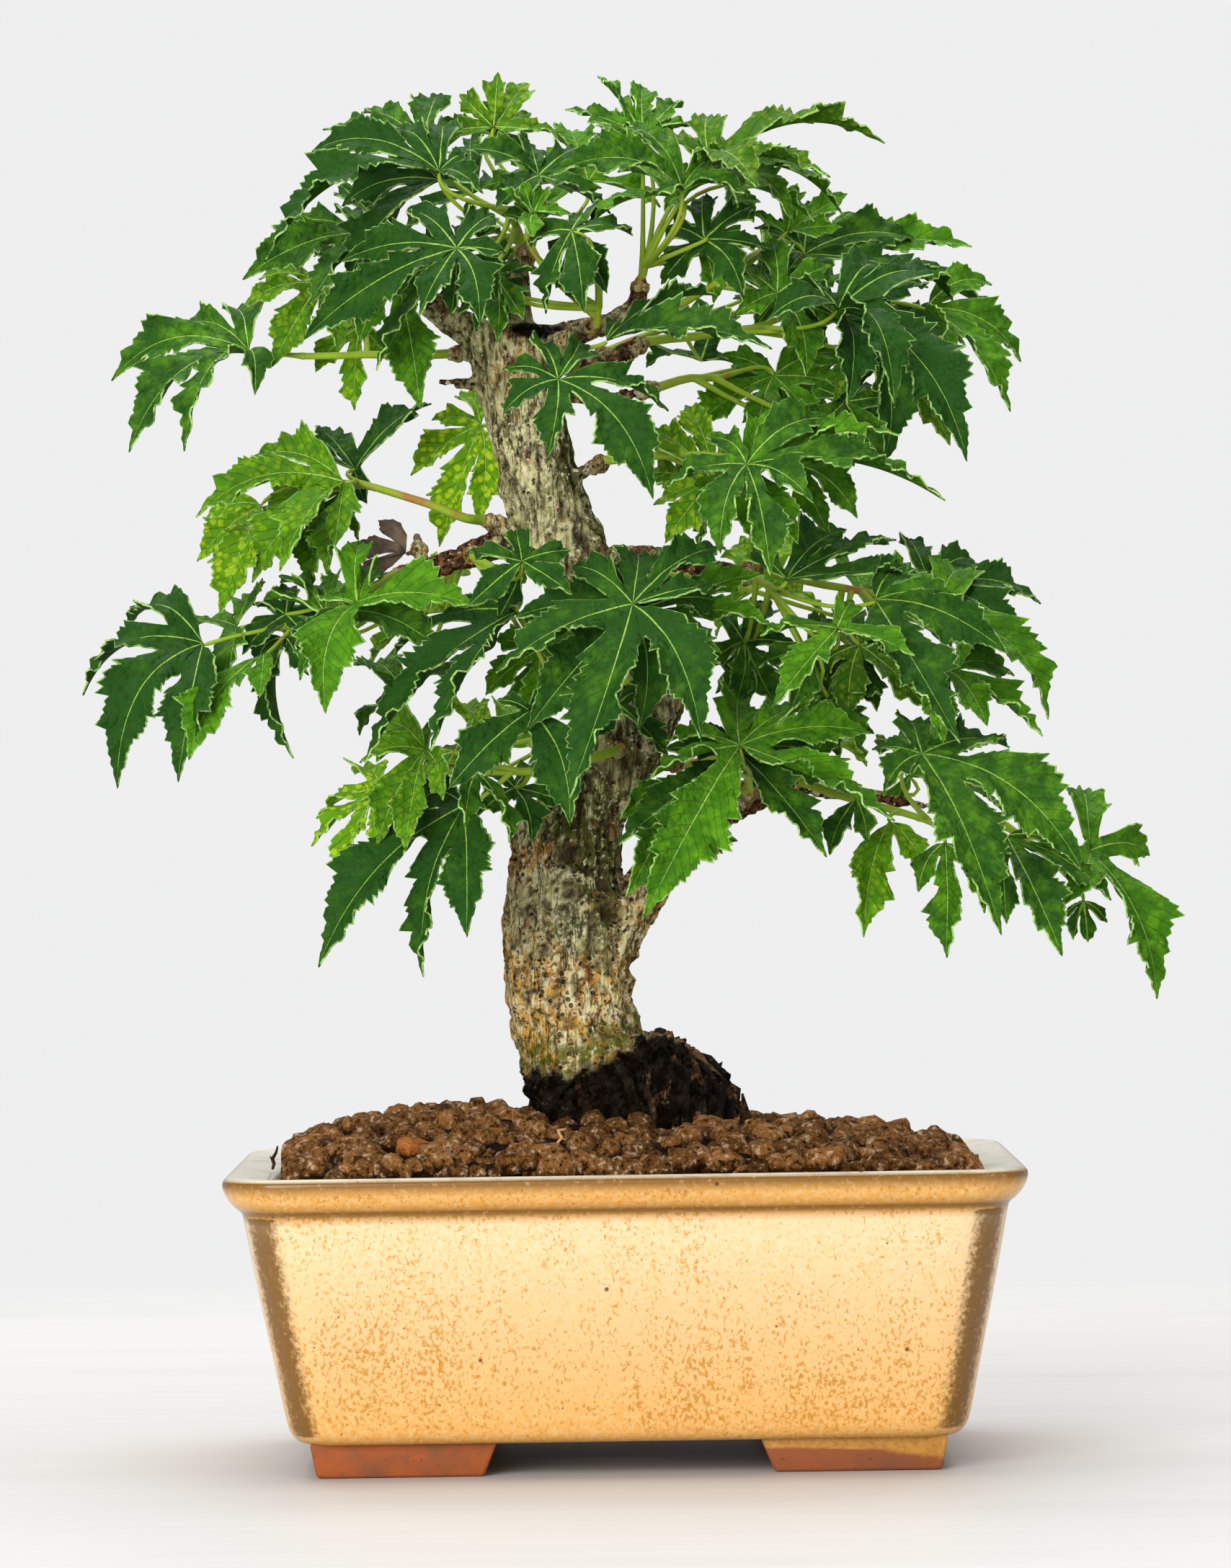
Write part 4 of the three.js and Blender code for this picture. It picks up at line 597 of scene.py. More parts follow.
def bark_finish(colours):
    """Old maple bark: pale and streaked above, golden and lichened below, black at the roots."""
    s = Shade("maple bark")
    black, moss, gold, crack = s.tones("bark_zone")
    grey, crust, limb, _ = s.tones("bark_patch")
    streak = s.noise(720.0, 6.0, 0.66, s.stretch(1, 1, 0.2))
    seam = s.noise(300.0, 5.0, 0.6, s.stretch(1, 1, 0.14))
    fleck = s.noise(900.0, 5.0, 0.72)
    patches = s.noise(130.0, 4.0, 0.6, warp=0.6)
    colour = s.mix(streak.band(0.34, 0.58), colours.bark_dark, colours.bark_pale)
    colour = s.mix(patches.band(0.52, 0.34) * 0.5, colour, colours.bark_green)
    warm = s.mix(fleck.band(0.36, 0.52), colours.umber_and_pit_shade, colours.bark_gold)
    warm = s.mix(streak.band(0.5, 0.6), warm, colours.lichen)
    smooth = s.mix(fleck.band(0.36, 0.6), colours.bark_grey, colours.bark_green)
    smooth = s.mix(streak.band(0.55, 0.66), smooth, colours.bark_pale)
    colour = s.mix(grey * 0.9, colour, smooth)
    colour = s.mix(gold * patches.band(0.25, 0.5), colour, warm)
    ruddy = s.mix(fleck.band(0.4, 0.58), colours.umber_and_pit_shade, colours.bark_twig)
    colour = s.mix(limb * patches.band(0.62, 0.46), colour, ruddy)
    crusted = (patches.band(0.54, 0.62) + crust * 0.9).clamped() * fleck.band(0.44, 0.54)
    colour = s.mix(crusted * 0.85, colour, colours.lichen)
    thin = abs(seam - 0.5).band(0.016, 0.005)
    colour = s.mix(thin * 0.7, colour, colours.umber_and_pit_shade)
    # Round pits, darkened as painted shade, with bright rims as painted highlights where the bark is golden
    hollow = s.cells(620.0)
    pitted = (s.noise(200.0, 2.0) + gold * 0.08).band(0.5, 0.6)
    pit = hollow.band(0.3, 0.16) * pitted
    rim = hollow.band(0.3, 0.36) * hollow.band(0.48, 0.4) * (pitted * gold)
    colour = s.mix(rim * 0.6, colour, colours.bark_glint)
    # Painted shade: the pits darken to umber
    colour = s.mix(pit * 0.8, colour, colours.umber_and_pit_shade)
    scar = s.noise(240.0).band(0.6, 0.66) * fleck.band(0.4, 0.6)
    colour = s.mix(scar * 0.85, colour, colours.bark_scar)
    # Painted shade at the bottom of the cracks
    colour = s.mix(crack * 0.85, colour, colours.crack_shade)
    # Painted glints: tiny bright flecks away from the cracks
    worn = s.noise(1000.0).band(0.59, 0.66) * crack.band(0.4, 0.1)
    colour = s.mix(worn * 0.85, colour, colours.bark_glint)
    green = moss * s.noise(520.0, 4.0).band(0.36, 0.56)
    colour = s.mix(green, colour, s.mix(fleck, colours.moss_deep, colours.moss_bright))
    # On the roots the fourth value of the zone is not a crack but how much painted brown highlight a root has
    root_lit = s.noise(300.0).band(0.56, 0.66) * fleck.band(0.42, 0.58)
    root_lit = (root_lit + crack * fleck.band(0.36, 0.56)).clamped()
    root = s.mix(s.noise(420.0, 4.0).band(0.42, 0.64), colours.root_black, colours.root_grey)
    root = s.mix(root_lit, root, colours.root_highlight)
    colour = s.mix(black, colour, root)
    height = streak + fleck * 0.6 - (thin * 0.5 + pit)
    return s.finish(colour, 0.86 - black * 0.36 - fleck * 0.12, (height, 1.0, 0.002),
                    Specular_IOR_Level=0.03)


def soil_finish(colours, loose):
    """Fired clay grains, each with its own tone, darker as painted shade on their lower parts and where they
    lie low; or the fill below them, painted dark as the shade between the grains.
    """
    s = Shade("clay grains" if loose else "soil fill")
    speck = s.noise(700.0, 5.0, 0.7)
    if loose:
        shade, orange, top, _ = s.tones("grain_look")
        # The first value mixes each grain's own tone with painted shade that darkens grains lying low
        colour = s.mix(shade, colours.grain_dark, colours.grain_red)
        # Pale specks, partly the grains' own paler tone and partly painted glints
        colour = s.mix(speck.band(0.53, 0.66), colour, colours.grain_tan_and_glint)
        colour = s.mix(speck.band(0.49, 0.36), colour, colours.grain_dark)
        colour = s.mix(orange, colour, colours.grain_orange)
        # Painted shade: the lower part of each grain darkens towards the darkest grain colour
        under = top + (speck - 0.5) * 0.8
        colour = s.mix(under.band(0.68, 0.26), colour, colours.grain_dark)
    else:
        # Painted shade: the fill seen between the grains is nearly black
        colour = s.mix(speck, colours.grain_dark, SOIL_SHADOW)
    height = speck + s.noise(420.0)
    return s.finish(colour, speck * 0.35 + 0.5, (height, 1.0, 0.003), Specular_IOR_Level=0.05)


def glaze_finish(colours):
    """Cream glaze that breaks to tan specks, thin and brown on the edges, golden at the foot."""
    s = Shade("speckled cream glaze")
    brown, inside, gold, strip = s.tones("glaze_zone")
    cloud = s.noise(34.0, 4.0, 0.6)
    mottle = s.noise(900.0, 6.0, 0.75, warp=0.3)
    speckle = s.noise(1500.0, 3.0, 0.62, s.stretch(1, 1, 0.75))
    fine = s.noise(1500.0, 2.0, 0.6)
    runs = s.noise(300.0, vector=s.stretch(1, 1, 0.1))
    drift = speckle + (cloud - 0.5) * 0.3 + (gold - 0.3) * 0.06 + (runs - 0.5) * 0.2
    warm = s.mix(gold, colours.biscuit, colours.honey)
    warm = s.mix(mottle.band(0.58, 0.38) * (gold * 0.3 + 0.55), warm, colours.cream)
    speck = s.mix(gold.band(0.1, 0.8), colours.tan_speck, colours.rust_speck)
    sparse = gold.band(1.0, 0.86) * 0.75
    colour = s.mix(drift.band(0.55, 0.65) * sparse, warm, speck)
    rust = drift.band(0.62, 0.7) * fine.band(0.45, 0.6)
    colour = s.mix(rust * 0.8, colour, colours.rust_speck)
    ragged = (strip + (mottle - 0.5) * 0.9).band(0.6, 0.95)
    # The brown value also darkens the groove under the lip, partly as painted shade
    edge = (brown * mottle.band(0.2, 0.45) + ragged * 0.95).clamped()
    colour = s.mix(edge, colour, colours.thin_glaze)
    lines = s.noise(260.0, 5.0, 0.65, s.stretch(0.5, 1, 1)).band(0.5, 0.7)
    colour = s.mix(inside, colour, s.mix(lines * 0.45, colours.celadon, colours.thin_glaze))
    pin = (s.cells(70.0).band(0.034, 0.02) + s.cells(190.0).band(0.05, 0.02)).clamped()
    colour = s.mix(pin * 0.85, colour, PIN_HOLE)
    return s.finish(colour, fine * 0.12 + 0.12, (mottle * 0.5 - pin, 0.22, 0.0005),
                    Specular_IOR_Level=0.2, Coat_Weight=0.25, Coat_Roughness=0.06)


def clay_finish(colours):
    """Bare fired clay of the feet, with a run of glaze over the front right one."""
    s = Shade("bare red clay")
    run, worn, _, _ = s.tones("glaze_zone")
    grit = s.noise(1100.0, 5.0, 0.7)
    wash = s.noise(120.0)
    colour = s.mix(wash.band(0.35, 0.65), colours.clay_red, colours.clay_brown)
    colour = s.mix(worn * 0.7, colour, colours.clay_brown)
    colour = s.mix(grit.band(0.6, 0.75), colour, colours.clay_dark)
    glaze = (run + (wash - 0.5) * 0.6).band(0.45, 0.6)
    colour = s.mix(glaze, colour, s.mix(grit, colours.honey, colours.thin_glaze))
    return s.finish(colour, 0.78 - glaze * 0.55, (grit, 0.35, 0.0006), Specular_IOR_Level=0.2)


def mesh_finish(colours):
    """Black plastic mesh over the drain holes."""
    s = Shade("drain screen plastic")
    grime = s.noise(300.0, 4.0)
    colour = s.mix(grime, BLACK_PLASTIC, colours.grain_dark)
    return s.finish(colour, grime * 0.3 + 0.4, (grime, 0.2, 0.0004))


def straw_finish(colours):
    """Pale straw and fine root."""
    s = Shade("pale straw")
    grain = s.noise(800.0)
    colour = s.mix(grain, colours.straw, colours.grain_orange)
    return s.finish(colour, grain * 0.3 + 0.5, (grain, 0.2, 0.0002))


def floor_finish(stage):
    """White board with faint streaks and painted light that makes it lighter further out, clear at its rim so
    that it has no edge.
    """
    s = Shade("pale board")
    streak = s.noise(9.0, 4.0, vector=s.stretch(0.35, 2.2, 1))
    fine = s.noise(60.0, vector=s.stretch(0.2, 2.5, 1))
    distance = s.add("ShaderNodeVectorMath", "Value", {0: s.place}, operation="LENGTH")
    # Painted light: the board is lighter away from the pot, making up for the lamps falling off
    lit = [min(1.15 * tone, 0.9) for tone in stage.floor_colour]
    colour = s.mix(distance.band(0.12, 0.42), stage.floor_colour, lit)
    worn = (streak.band(0.45, 0.75) * 0.5 + fine.band(0.55, 0.8) * 0.3).clamped()
    colour = s.mix(worn, colour, WORN_BOARD, "MULTIPLY")
    clear = distance.band(stage.floor_radius, 0.45 * stage.floor_radius)
    return s.finish(colour, fine * 0.2 + 0.45, Alpha=clear)


# Shaping


def plain_mesh(name, bm):
    """What was shaped, as a mesh of the file."""
    mesh = bpy.data.meshes.new(name)
    bm.to_mesh(mesh)
    bm.free()
    return mesh


def put_in_scene(name, data):
    """A new object in the scene with this mesh, lamp or camera."""
    made = bpy.data.objects.new(name, data)
    bpy.context.scene.collection.objects.link(made)
    return made


def finish_piece(name, bm, materials, replaces=(), sharp=50.0):
    """The mesh in mm becomes a piece of the part in metres, smooth but for edges over sharp degrees."""
    bmesh.ops.scale(bm, vec=(MM, MM, MM), verts=bm.verts)
    mesh = plain_mesh(name, bm)
    piece = put_in_scene(name, mesh)
    for material in materials:
        mesh.materials.append(material)
    mesh.polygons.foreach_set("use_smooth", [True] * len(mesh.polygons))
    mesh.set_sharp_from_angle(angle=math.radians(sharp))
    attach(piece, "root")
    if replaces:
        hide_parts(*replaces)
    return piece


def tube(bm, path, radii, sides, material, tone):
    """A round stalk, twig or root: a circle drawn out along the path and closed at both ends."""
    layer = bm.verts.layers.float_color.get("leaf_look") or bm.verts.layers.float_color.get("bark_zone")
    way = (path[1] - path[0]).normalized()
    start = Matrix.Translation(path[0]) @ UP.rotation_difference(way).to_matrix().to_4x4()
    ring = bmesh.ops.create_circle(bm, segments=sides, radius=radii[0], matrix=start)["verts"]
    edges = list({edge for vert in ring for edge in vert.link_edges})
    first = list(edges)
    made = list(ring)
    faces = []
    for k in range(1, len(path)):
        after = path[min(k + 1, len(path) - 1)]
        turned = (after - path[k - 1]).normalized()
        pulled = bmesh.ops.extrude_edge_only(bm, edges=edges)["geom"]
        ring = [item for item in pulled if isinstance(item, bmesh.types.BMVert)]
        faces += [item for item in pulled if isinstance(item, bmesh.types.BMFace)]
        inside = set(ring)
        edges = [item for item in pulled if isinstance(item, bmesh.types.BMEdge)
                 and item.verts[0] in inside and item.verts[1] in inside]
        move = (Matrix.Translation(path[k]) @ way.rotation_difference(turned).to_matrix().to_4x4()
                @ Matrix.Scale(radii[k] / radii[k - 1], 4) @ Matrix.Translation(-path[k - 1]))
        bmesh.ops.transform(bm, matrix=move, verts=ring)
        made += ring
        way = turned
    for rim in (first, edges):
        faces += bmesh.ops.contextual_create(bm, geom=rim)["faces"]
    bmesh.ops.recalc_face_normals(bm, faces=faces)
    for face in faces:
        face.material_index = material
    for vert in made:
        vert[layer] = tone


def wander(rng, path, amount, steps):
    """The path with this many steps between its points, each a little off the straight line."""
    finer = []
    for start, end in zip(path, path[1:]):
        finer += [start.lerp(end, step / steps) for step in range(steps)]
    finer.append(path[-1])
    for k in range(1, len(finer) - 1):
        finer[k] = finer[k] + Vector([rng.uniform(-amount, amount) for _ in range(3)])
    return finer


def dressed_copy(mesh, modify):
    """The mesh with modifiers applied, as a new mesh."""
    holder = put_in_scene("working copy", mesh)
    modify(holder)
    bpy.context.view_layer.update()
    shaped = holder.evaluated_get(bpy.context.evaluated_depsgraph_get())
    result = bpy.data.meshes.new_from_object(shaped)
    bpy.data.objects.remove(holder)
    return result


def node_tree(name):
    """A CAD node's surface, for asking where it lies."""
    bm = bmesh.new()
    bm.from_mesh(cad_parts[name].data)
    tree = BVHTree.FromBMesh(bm)
    bm.free()
    return tree


# Leaves, in mm

# How far each row of a toothed edge stands out, one tooth after another
TEETH = (0.8, 0.94, 0.89, 1.02, 0.95, 1.1, 1.03, 1.2)
WEB_ROWS = 5
LEAST_ROWS = 8
WIDE_LOBE = 16  # length from which a lobe has more columns
OPEN_START = 0.3  # where the edge of an outer lobe leaves the hub, as a share of its length
ROOM_STEPS = 8  # places along a lobe where the room beside it is measured
LEAST_HALF_WIDTH = 0.35
SWELL_LENGTH = 5.2  # from one swelling between the veins to the next
WAVE_LENGTH = 13.0  # from one wave of the edge to the next
STALK_SPACING = 1.9
BARE_STEM = 1.4  # the foot of a stem without stalks
BEHIND_TURN = 0.42  # how far a leaf behind another is turned, in radians
BEHIND_DROP = 1.5
BEHIND_HUB, BEHIND_TIPS = 8, 9  # how much deeper its hub and its tips lie
STALK_PLACES = (0, 0.06, 0.16, 0.3, 0.45, 0.6, 0.75, 0.88, 1)
STALK_WIDTHS = (0.5, 0.85, 0.95, 0.9, 0.9, 0.95, 1.05, 1.25, 1.7)

# The sprays inside the crown, where leaf hangs behind leaf
BUSHY = (
    "crown_left", "crown_top", "crown_front", "crown_far_left", "crown_right", "crown_right_far",
    "upper_right", "upper_right_under", "right_mid", "right_bough", "right_bough_far", "front_mid",
    "left_front", "left_low", "left_mid", "right_low", "back_top", "back_right",
)


class Lobe:
    """The midrib of one lobe: a curve from the hub that first rises and then droops to its tip."""

    def __init__(self, hub, tip, arch, normal, spread, twist):
        chord = tip - hub
        self.hub, self.tip, self.length, self.twist = hub, tip, chord.length, twist
        along = chord.normalized()
        rise = normal + UP
        rise = (rise - along * rise.dot(along)).normalized()
        self.level = normal.cross(along).normalized()
        self.knee = (hub + tip) / 2 + (rise * arch + self.level * spread) * self.length

    def at(self, t):
        """The point of the midrib at a share of its length."""
        return quadratic(self.hub, self.knee, self.tip, t)

    def way(self, t):
        """The direction along the midrib."""
        return ((self.knee - self.hub) * (1 - t) + (self.tip - self.knee) * t).normalized()

    def side(self, t):
        """The direction across the blade."""
        return Matrix.Rotation(self.twist * smoothstep(0.1, 0.7, t), 3, self.way(t)) @ self.level

    def lift(self, t):
        """The direction out of the blade."""
        return self.way(t).cross(self.side(t)).normalized()


def blade_normal(hub, tips):
    """The way the upper side of a leaf faces."""
    normal = Vector()
    for first, second in zip(tips, tips[1:]):
        normal += (second - hub).cross(first - hub)
    return normal.normalized()


def open_side(hub, tips, normal):
    """The middle of the gap between the last lobe and the first, where the stalk comes in."""
    ways = [tip - hub for tip in tips]
    turn = sum(a.angle(b) for a, b in zip(ways, ways[1:]))
    first = (ways[0] - normal * ways[0].dot(normal)).normalized()
    return Matrix.Rotation(math.pi - turn / 2, 3, normal) @ first


def lobe_width(t):
    """The share of a lobe's greatest half width at a place along it."""
    if t < 0.5:
        return 0.38 + 0.62 * smoothstep(0.0, 0.5, t)
    return max(1 - ((t - 0.5) / 0.5) ** 1.15, 0.0) * (1 - 0.2 * smoothstep(0.6, 1, t))


def lobe_side(lobes, cuts, index, sign, web):
    """The cut beside a lobe, where the lobe's own edge starts, and the room to the next lobe."""
    inner = 0 <= index - sign < len(lobes)
    lobe, other = lobes[index], lobes[(index - sign) % len(lobes)]
    cut = cuts[index - 1 if sign > 0 else index] if inner else None
    start = web * min(lobe.length, other.length) / lobe.length if inner else OPEN_START
    places = [k / ROOM_STEPS for k in range(ROOM_STEPS + 1)]
    room = [0.46 * min((other.at(there) - lobe.at(here)).length for there in places) for here in places]
    return cut, start, room


def room_at(room, t):
    """The room beside a lobe, between two of the places where it is measured."""
    step = int(t * ROOM_STEPS)
    here, following = room[min(step, ROOM_STEPS)], room[min(step + 1, ROOM_STEPS)]
    return here + (following - here) * (t * ROOM_STEPS % 1)


def row_places(row, rows, middle, start):
    """How far out a row of a lobe's grid lies, on the midrib and on the edge."""
    if row <= WEB_ROWS:
        return middle * row / WEB_ROWS, start * row / WEB_ROWS
    beyond = (row - WEB_ROWS) / (rows - WEB_ROWS)
    return middle + (1 - middle) * beyond, start + (1 - start) * beyond


def joined_edge(edge, rib, hub, cut, normal, row):
    """The edge where it runs into the next lobe's, or into the hub on the leaf's open side."""
    if cut is None:
        if row > WEB_ROWS:
            return edge
        return rib.lerp(edge, smoothstep(0, 2.0, row)) if row else hub
    if row > WEB_ROWS:
        return cut.lerp(edge, smoothstep(0, 3.2, row - WEB_ROWS))
    share = row / WEB_ROWS
    return hub.lerp(cut, share) + normal * (0.05 * (cut - hub).length * math.sin(math.pi * share))


def grow_lobe(bm, lobe, sides, normal, phase, tone, settings, curl):
    """One lobe as a grid whose rows lie across it, from the hub to the tip."""
    look = bm.verts.layers.float_color["leaf_look"]
    flat = bm.loops.layers.uv["blade"]
    tooth = settings.tooth_step / MM
    rows = WEB_ROWS + max(LEAST_ROWS, round(lobe.length * 0.72 / tooth))
    columns = 6 if lobe.length > WIDE_LOBE else 4
    grid = bmesh.ops.create_grid(bm, x_segments=columns, y_segments=rows, size=1)["verts"]
    widest = settings.lobe_width * lobe.length * (1.25 - 0.012 * lobe.length)
    middle = (sides[1][1] + sides[-1][1]) / 2
    spots = {}
    for vert in grid:
        reach, row = abs(vert.co.x), round((vert.co.y + 1) / 2 * rows)
        sign = 1 if vert.co.x >= 0 else -1
        cut, start, room = sides[sign]
        t, t_edge = row_places(row, rows, middle, start)
        step = row - WEB_ROWS
        free = 0 < step < rows - WEB_ROWS
        rim = reach > 0.99
        out = TEETH[step % len(TEETH)] if free and rim else 1.0
        half = min(widest * lobe_width(t_edge), max(room_at(room, t_edge), LEAST_HALF_WIDTH)) * out
        forward = 0.0
        if free:
            forward = smoothstep(0, 0.25, step / (rows - WEB_ROWS)) * reach * 0.35 * half / lobe.length
            if rim and step % 2:
                forward += 0.6 * out * tooth / lobe.length
        t_edge = min(t_edge + forward * (1 - t_edge) * 1.3, 1.0)
        rib, lift = lobe.at(t), lobe.lift(t_edge)
        edge = lobe.at(t_edge) + lobe.side(t_edge) * (sign * half) + lift * (settings.edge_lift * half)
        point = rib.lerp(joined_edge(edge, rib, lobe.hub, cut, normal, row), reach)
        # Side veins are furrows and the blade swells between them, and its edges wave up and down
        fade = smoothstep(0.05, 0.3, t) * smoothstep(1.0, 0.8, t)
        length = t * lobe.length - reach * half * 1.1
        swell = math.cos(math.tau * length / SWELL_LENGTH + phase)
        point += lift * (settings.crinkle / MM * swell * reach * fade)
        wave = math.sin(math.tau * length / WAVE_LENGTH + phase + (0 if sign > 0 else 2.1))
        point += lift * (0.1 * half * wave * reach * reach * fade * curl * 2)
        point += noise.noise_vector(point * 0.16) * (0.8 * fade * reach)
        vert.co = point
        vert[look] = (*tone, reach if step > 0 or cut is None else 0.0, t)
        spots[vert] = (0.5 + sign * reach * half / BLADE_SPAN, t * lobe.length / BLADE_SPAN)
    for face in {face for vert in grid for face in vert.link_faces}:
        for loop in face.loops:
            loop[flat].uv = spots[loop.vert]


def grow_blade(bm, hub, tips, arch, tone, settings, curl):
    """A palmate blade of toothed, folded and crinkled lobes, joined at the webs."""
    normal = blade_normal(hub, tips)
    last = len(tips) - 1
    rng = random.Random(round(1e6 * tone[1]))
    lobes = [Lobe(hub, tip, arch * rng.uniform(0.9, 1.6), normal,
                  settings.spread * (1 - 2 * index / last) + rng.uniform(-0.5, 0.5) * settings.spread,
                  rng.uniform(-settings.twist, settings.twist))
             for index, tip in enumerate(tips)]
    cuts = []
    for a, b in zip(lobes, lobes[1:]):
        reach = settings.sinus * min(a.length, b.length)
        cuts.append((a.at(reach / a.length) + b.at(reach / b.length)) / 2)
    for index, lobe in enumerate(lobes):
        sides = {sign: lobe_side(lobes, cuts, index, sign, settings.sinus) for sign in (1, -1)}
        grow_lobe(bm, lobe, sides, normal, math.tau * tone[1] + 1.7 * index, tone, settings, curl)
    return normal


def stalk_roots(joints, hubs):
    """Each stalk leaves the stem at the free place nearest to its leaf."""
    spans = [(b - a).length for a, b in zip(joints, joints[1:])]
    total = sum(spans)

    def place(distance):
        for a, b, span in zip(joints, joints[1:], spans):
            if distance <= span:
                return a.lerp(b, distance / span)
            distance -= span
        return joints[-1].copy()

    count = max(int((total - BARE_STEM) / STALK_SPACING), 0)
    free = [place(total - STALK_SPACING * k) for k in range(count + 1)]
    spare = free[0]
    roots = []
    for hub in hubs:
        nearest = min(free or [spare], key=lambda spot: (spot - hub).length)
        if nearest in free:
            free.remove(nearest)
        roots.append(nearest)
    return roots


def leaf_behind(leaf, turn, share):
    """A smaller leaf that hangs behind this one and shows between its lobes."""
    hub, arch, youth, tips = leaf
    back = []
    for tip in tips:
        x, z, depth = (share * (tip[axis] - hub[axis]) for axis in range(3))
        back.append((hub[0] + x * math.cos(turn) - z * math.sin(turn),
                     hub[1] + x * math.sin(turn) + z * math.cos(turn) - BEHIND_DROP,
                     hub[2] + depth + BEHIND_TIPS))
    return (hub[0], hub[1] - BEHIND_DROP, hub[2] + BEHIND_HUB), arch, 0.5 * youth, back


def thick_blades(name, bm, thickness):
    """The flat blades in mm as a mesh in metres with two sides."""
    bmesh.ops.remove_doubles(bm, verts=bm.verts, dist=0.002)
    bmesh.ops.scale(bm, vec=(MM, MM, MM), verts=bm.verts)

    def thicken(holder):
        wall = holder.modifiers.new("blade", "SOLIDIFY")
        wall.thickness = thickness
        wall.offset = 0.0
        wall.use_even_offset = False

    return dressed_copy(plain_mesh(name, bm), thicken)


def grow_stalk(bm, hub, root, back, side, radius, tone):
    """A leaf stalk from under the hub to its place on the stem."""
    start = hub + back * 0.25
    reach = (root - start).length
    knee = start + side * (0.34 * reach) + back * (0.12 * reach)
    path = [quadratic(start, knee, root, t) for t in STALK_PLACES]
    tube(bm, path, [radius * width for width in STALK_WIDTHS], 8, 1, (*tone, 0, 1))


def grow_spray(name, spray, settings, materials, node, curl=1.0, dense=False):
    """One stem with its stalks and leaves."""
    rng = random.Random(name)
    leaves = list(spray["leaves"])
    if dense:
        leaves += [leaf_behind(leaf, rng.choice((-BEHIND_TURN, BEHIND_TURN)), settings.behind)
                   for leaf in spray["leaves"] if len(leaf[3]) > 4]
    twig, twig_end = (seen(point) for point in spray["twig"])
    out = (twig_end - twig).normalized()
    joints = [twig_end - out * 0.2, twig_end + out * 1.7] + [seen(point) for point in spray["stem"]]
    hubs = [seen(leaf[0]) for leaf in leaves]
    roots = stalk_roots(joints, hubs)
    bm = bmesh.new()
    bm.verts.layers.float_color.new("leaf_look")
    bm.loops.layers.uv.new("blade")
    stalks = []
    for (_, arch, youth, tips), hub, root in zip(leaves, hubs, roots):
        tips = [seen(tip) for tip in tips]
        chance = rng.random() * (0.2 if youth < 0 else 1.0)
        tone = (max(youth, 0), chance)
        normal = grow_blade(bm, hub, tips, arch, tone, settings, curl)
        behind = -1 if (root - hub).dot(normal) < 0 else 1
        stalks.append((hub, root, normal * behind, open_side(hub, tips, normal), (youth, chance)))
    thick = thick_blades(name, bm, settings.blade_thickness)
    bm = bmesh.new()
    bm.from_mesh(thick)
    bmesh.ops.scale(bm, vec=(1 / MM,) * 3, verts=bm.verts)
    for hub, root, back, side, tone in stalks:
        grow_stalk(bm, hub, root, back, side, settings.stalk_radius / MM, tone)
    stem = wander(rng, joints, 0.12, 3)
    foot = settings.stem_radius / MM
    radii = [foot * (1.35 - 0.55 * k / (len(stem) - 1)) for k in range(len(stem))]
    tube(bm, stem, radii, 10, 1, (0.2, rng.random(), 0, 1))
    finish_piece(name, bm, materials, (node,))


# Pot, in mm

LONGER = 18  # how much further the pot reaches along than across, from its middle
CORNERS = ((1, 1), (-1, 1), (-1, -1), (1, -1))
CORNER_STEPS = 8
SIDE_STEPS = (9, 6)  # along the front and back, and along the ends
THIN_STRIP = (7, 47)  # the heights between which the glaze is thin down each corner
DRAIN_ACROSS, DRAIN_RADIUS = 28, 6
DRAIN_TONE = (0.4, 0, 0, 0)
FOOT_OUTER, FOOT_INNER = 56.2, 23.0  # how far along each foot reaches
FOOT_THICK, FOOT_SIDE = 11.0, 24.0  # a bar's thickness, and its length across
FOOT_HEIGHT = 6.4
FOOT_SLANT, FOOT_TAPER = 2.6, 1.2  # how far the inner ends and the outer sides lean


def rounded_ring(bm, height, half_length, corner, tones, layer):
    """A closed loop of edges round the pot at one height."""
    half_width = half_length - LONGER

    def on_corner(quarter, turn):
        sign_x, sign_y = CORNERS[quarter]
        angle = (quarter + turn) * math.pi / 2
        return (sign_x * (half_length - corner) + corner * math.cos(angle),
                sign_y * (half_width - corner) + corner * math.sin(angle))

    spots = []
    for quarter in range(4):
        for step in range(CORNER_STEPS + 1):
            turn = step / CORNER_STEPS
            spots.append((*on_corner(quarter, turn), math.sin(math.pi * turn)))
        x, y, _ = spots[-1]
        next_x, next_y = on_corner((quarter + 1) % 4, 0)
        count = SIDE_STEPS[quarter % 2]
        for step in range(1, count):
            share = step / count
            spots.append((x + (next_x - x) * share, y + (next_y - y) * share, 0.0))
    verts = []
    for x, y, strip in spots:
        vert = bm.verts.new((x, y, height))
        vert[layer] = (*tones, strip if THIN_STRIP[0] < height < THIN_STRIP[1] else 0.0)
        verts.append(vert)
    return [bm.edges.new(pair) for pair in zip(verts, verts[1:] + verts[:1])]


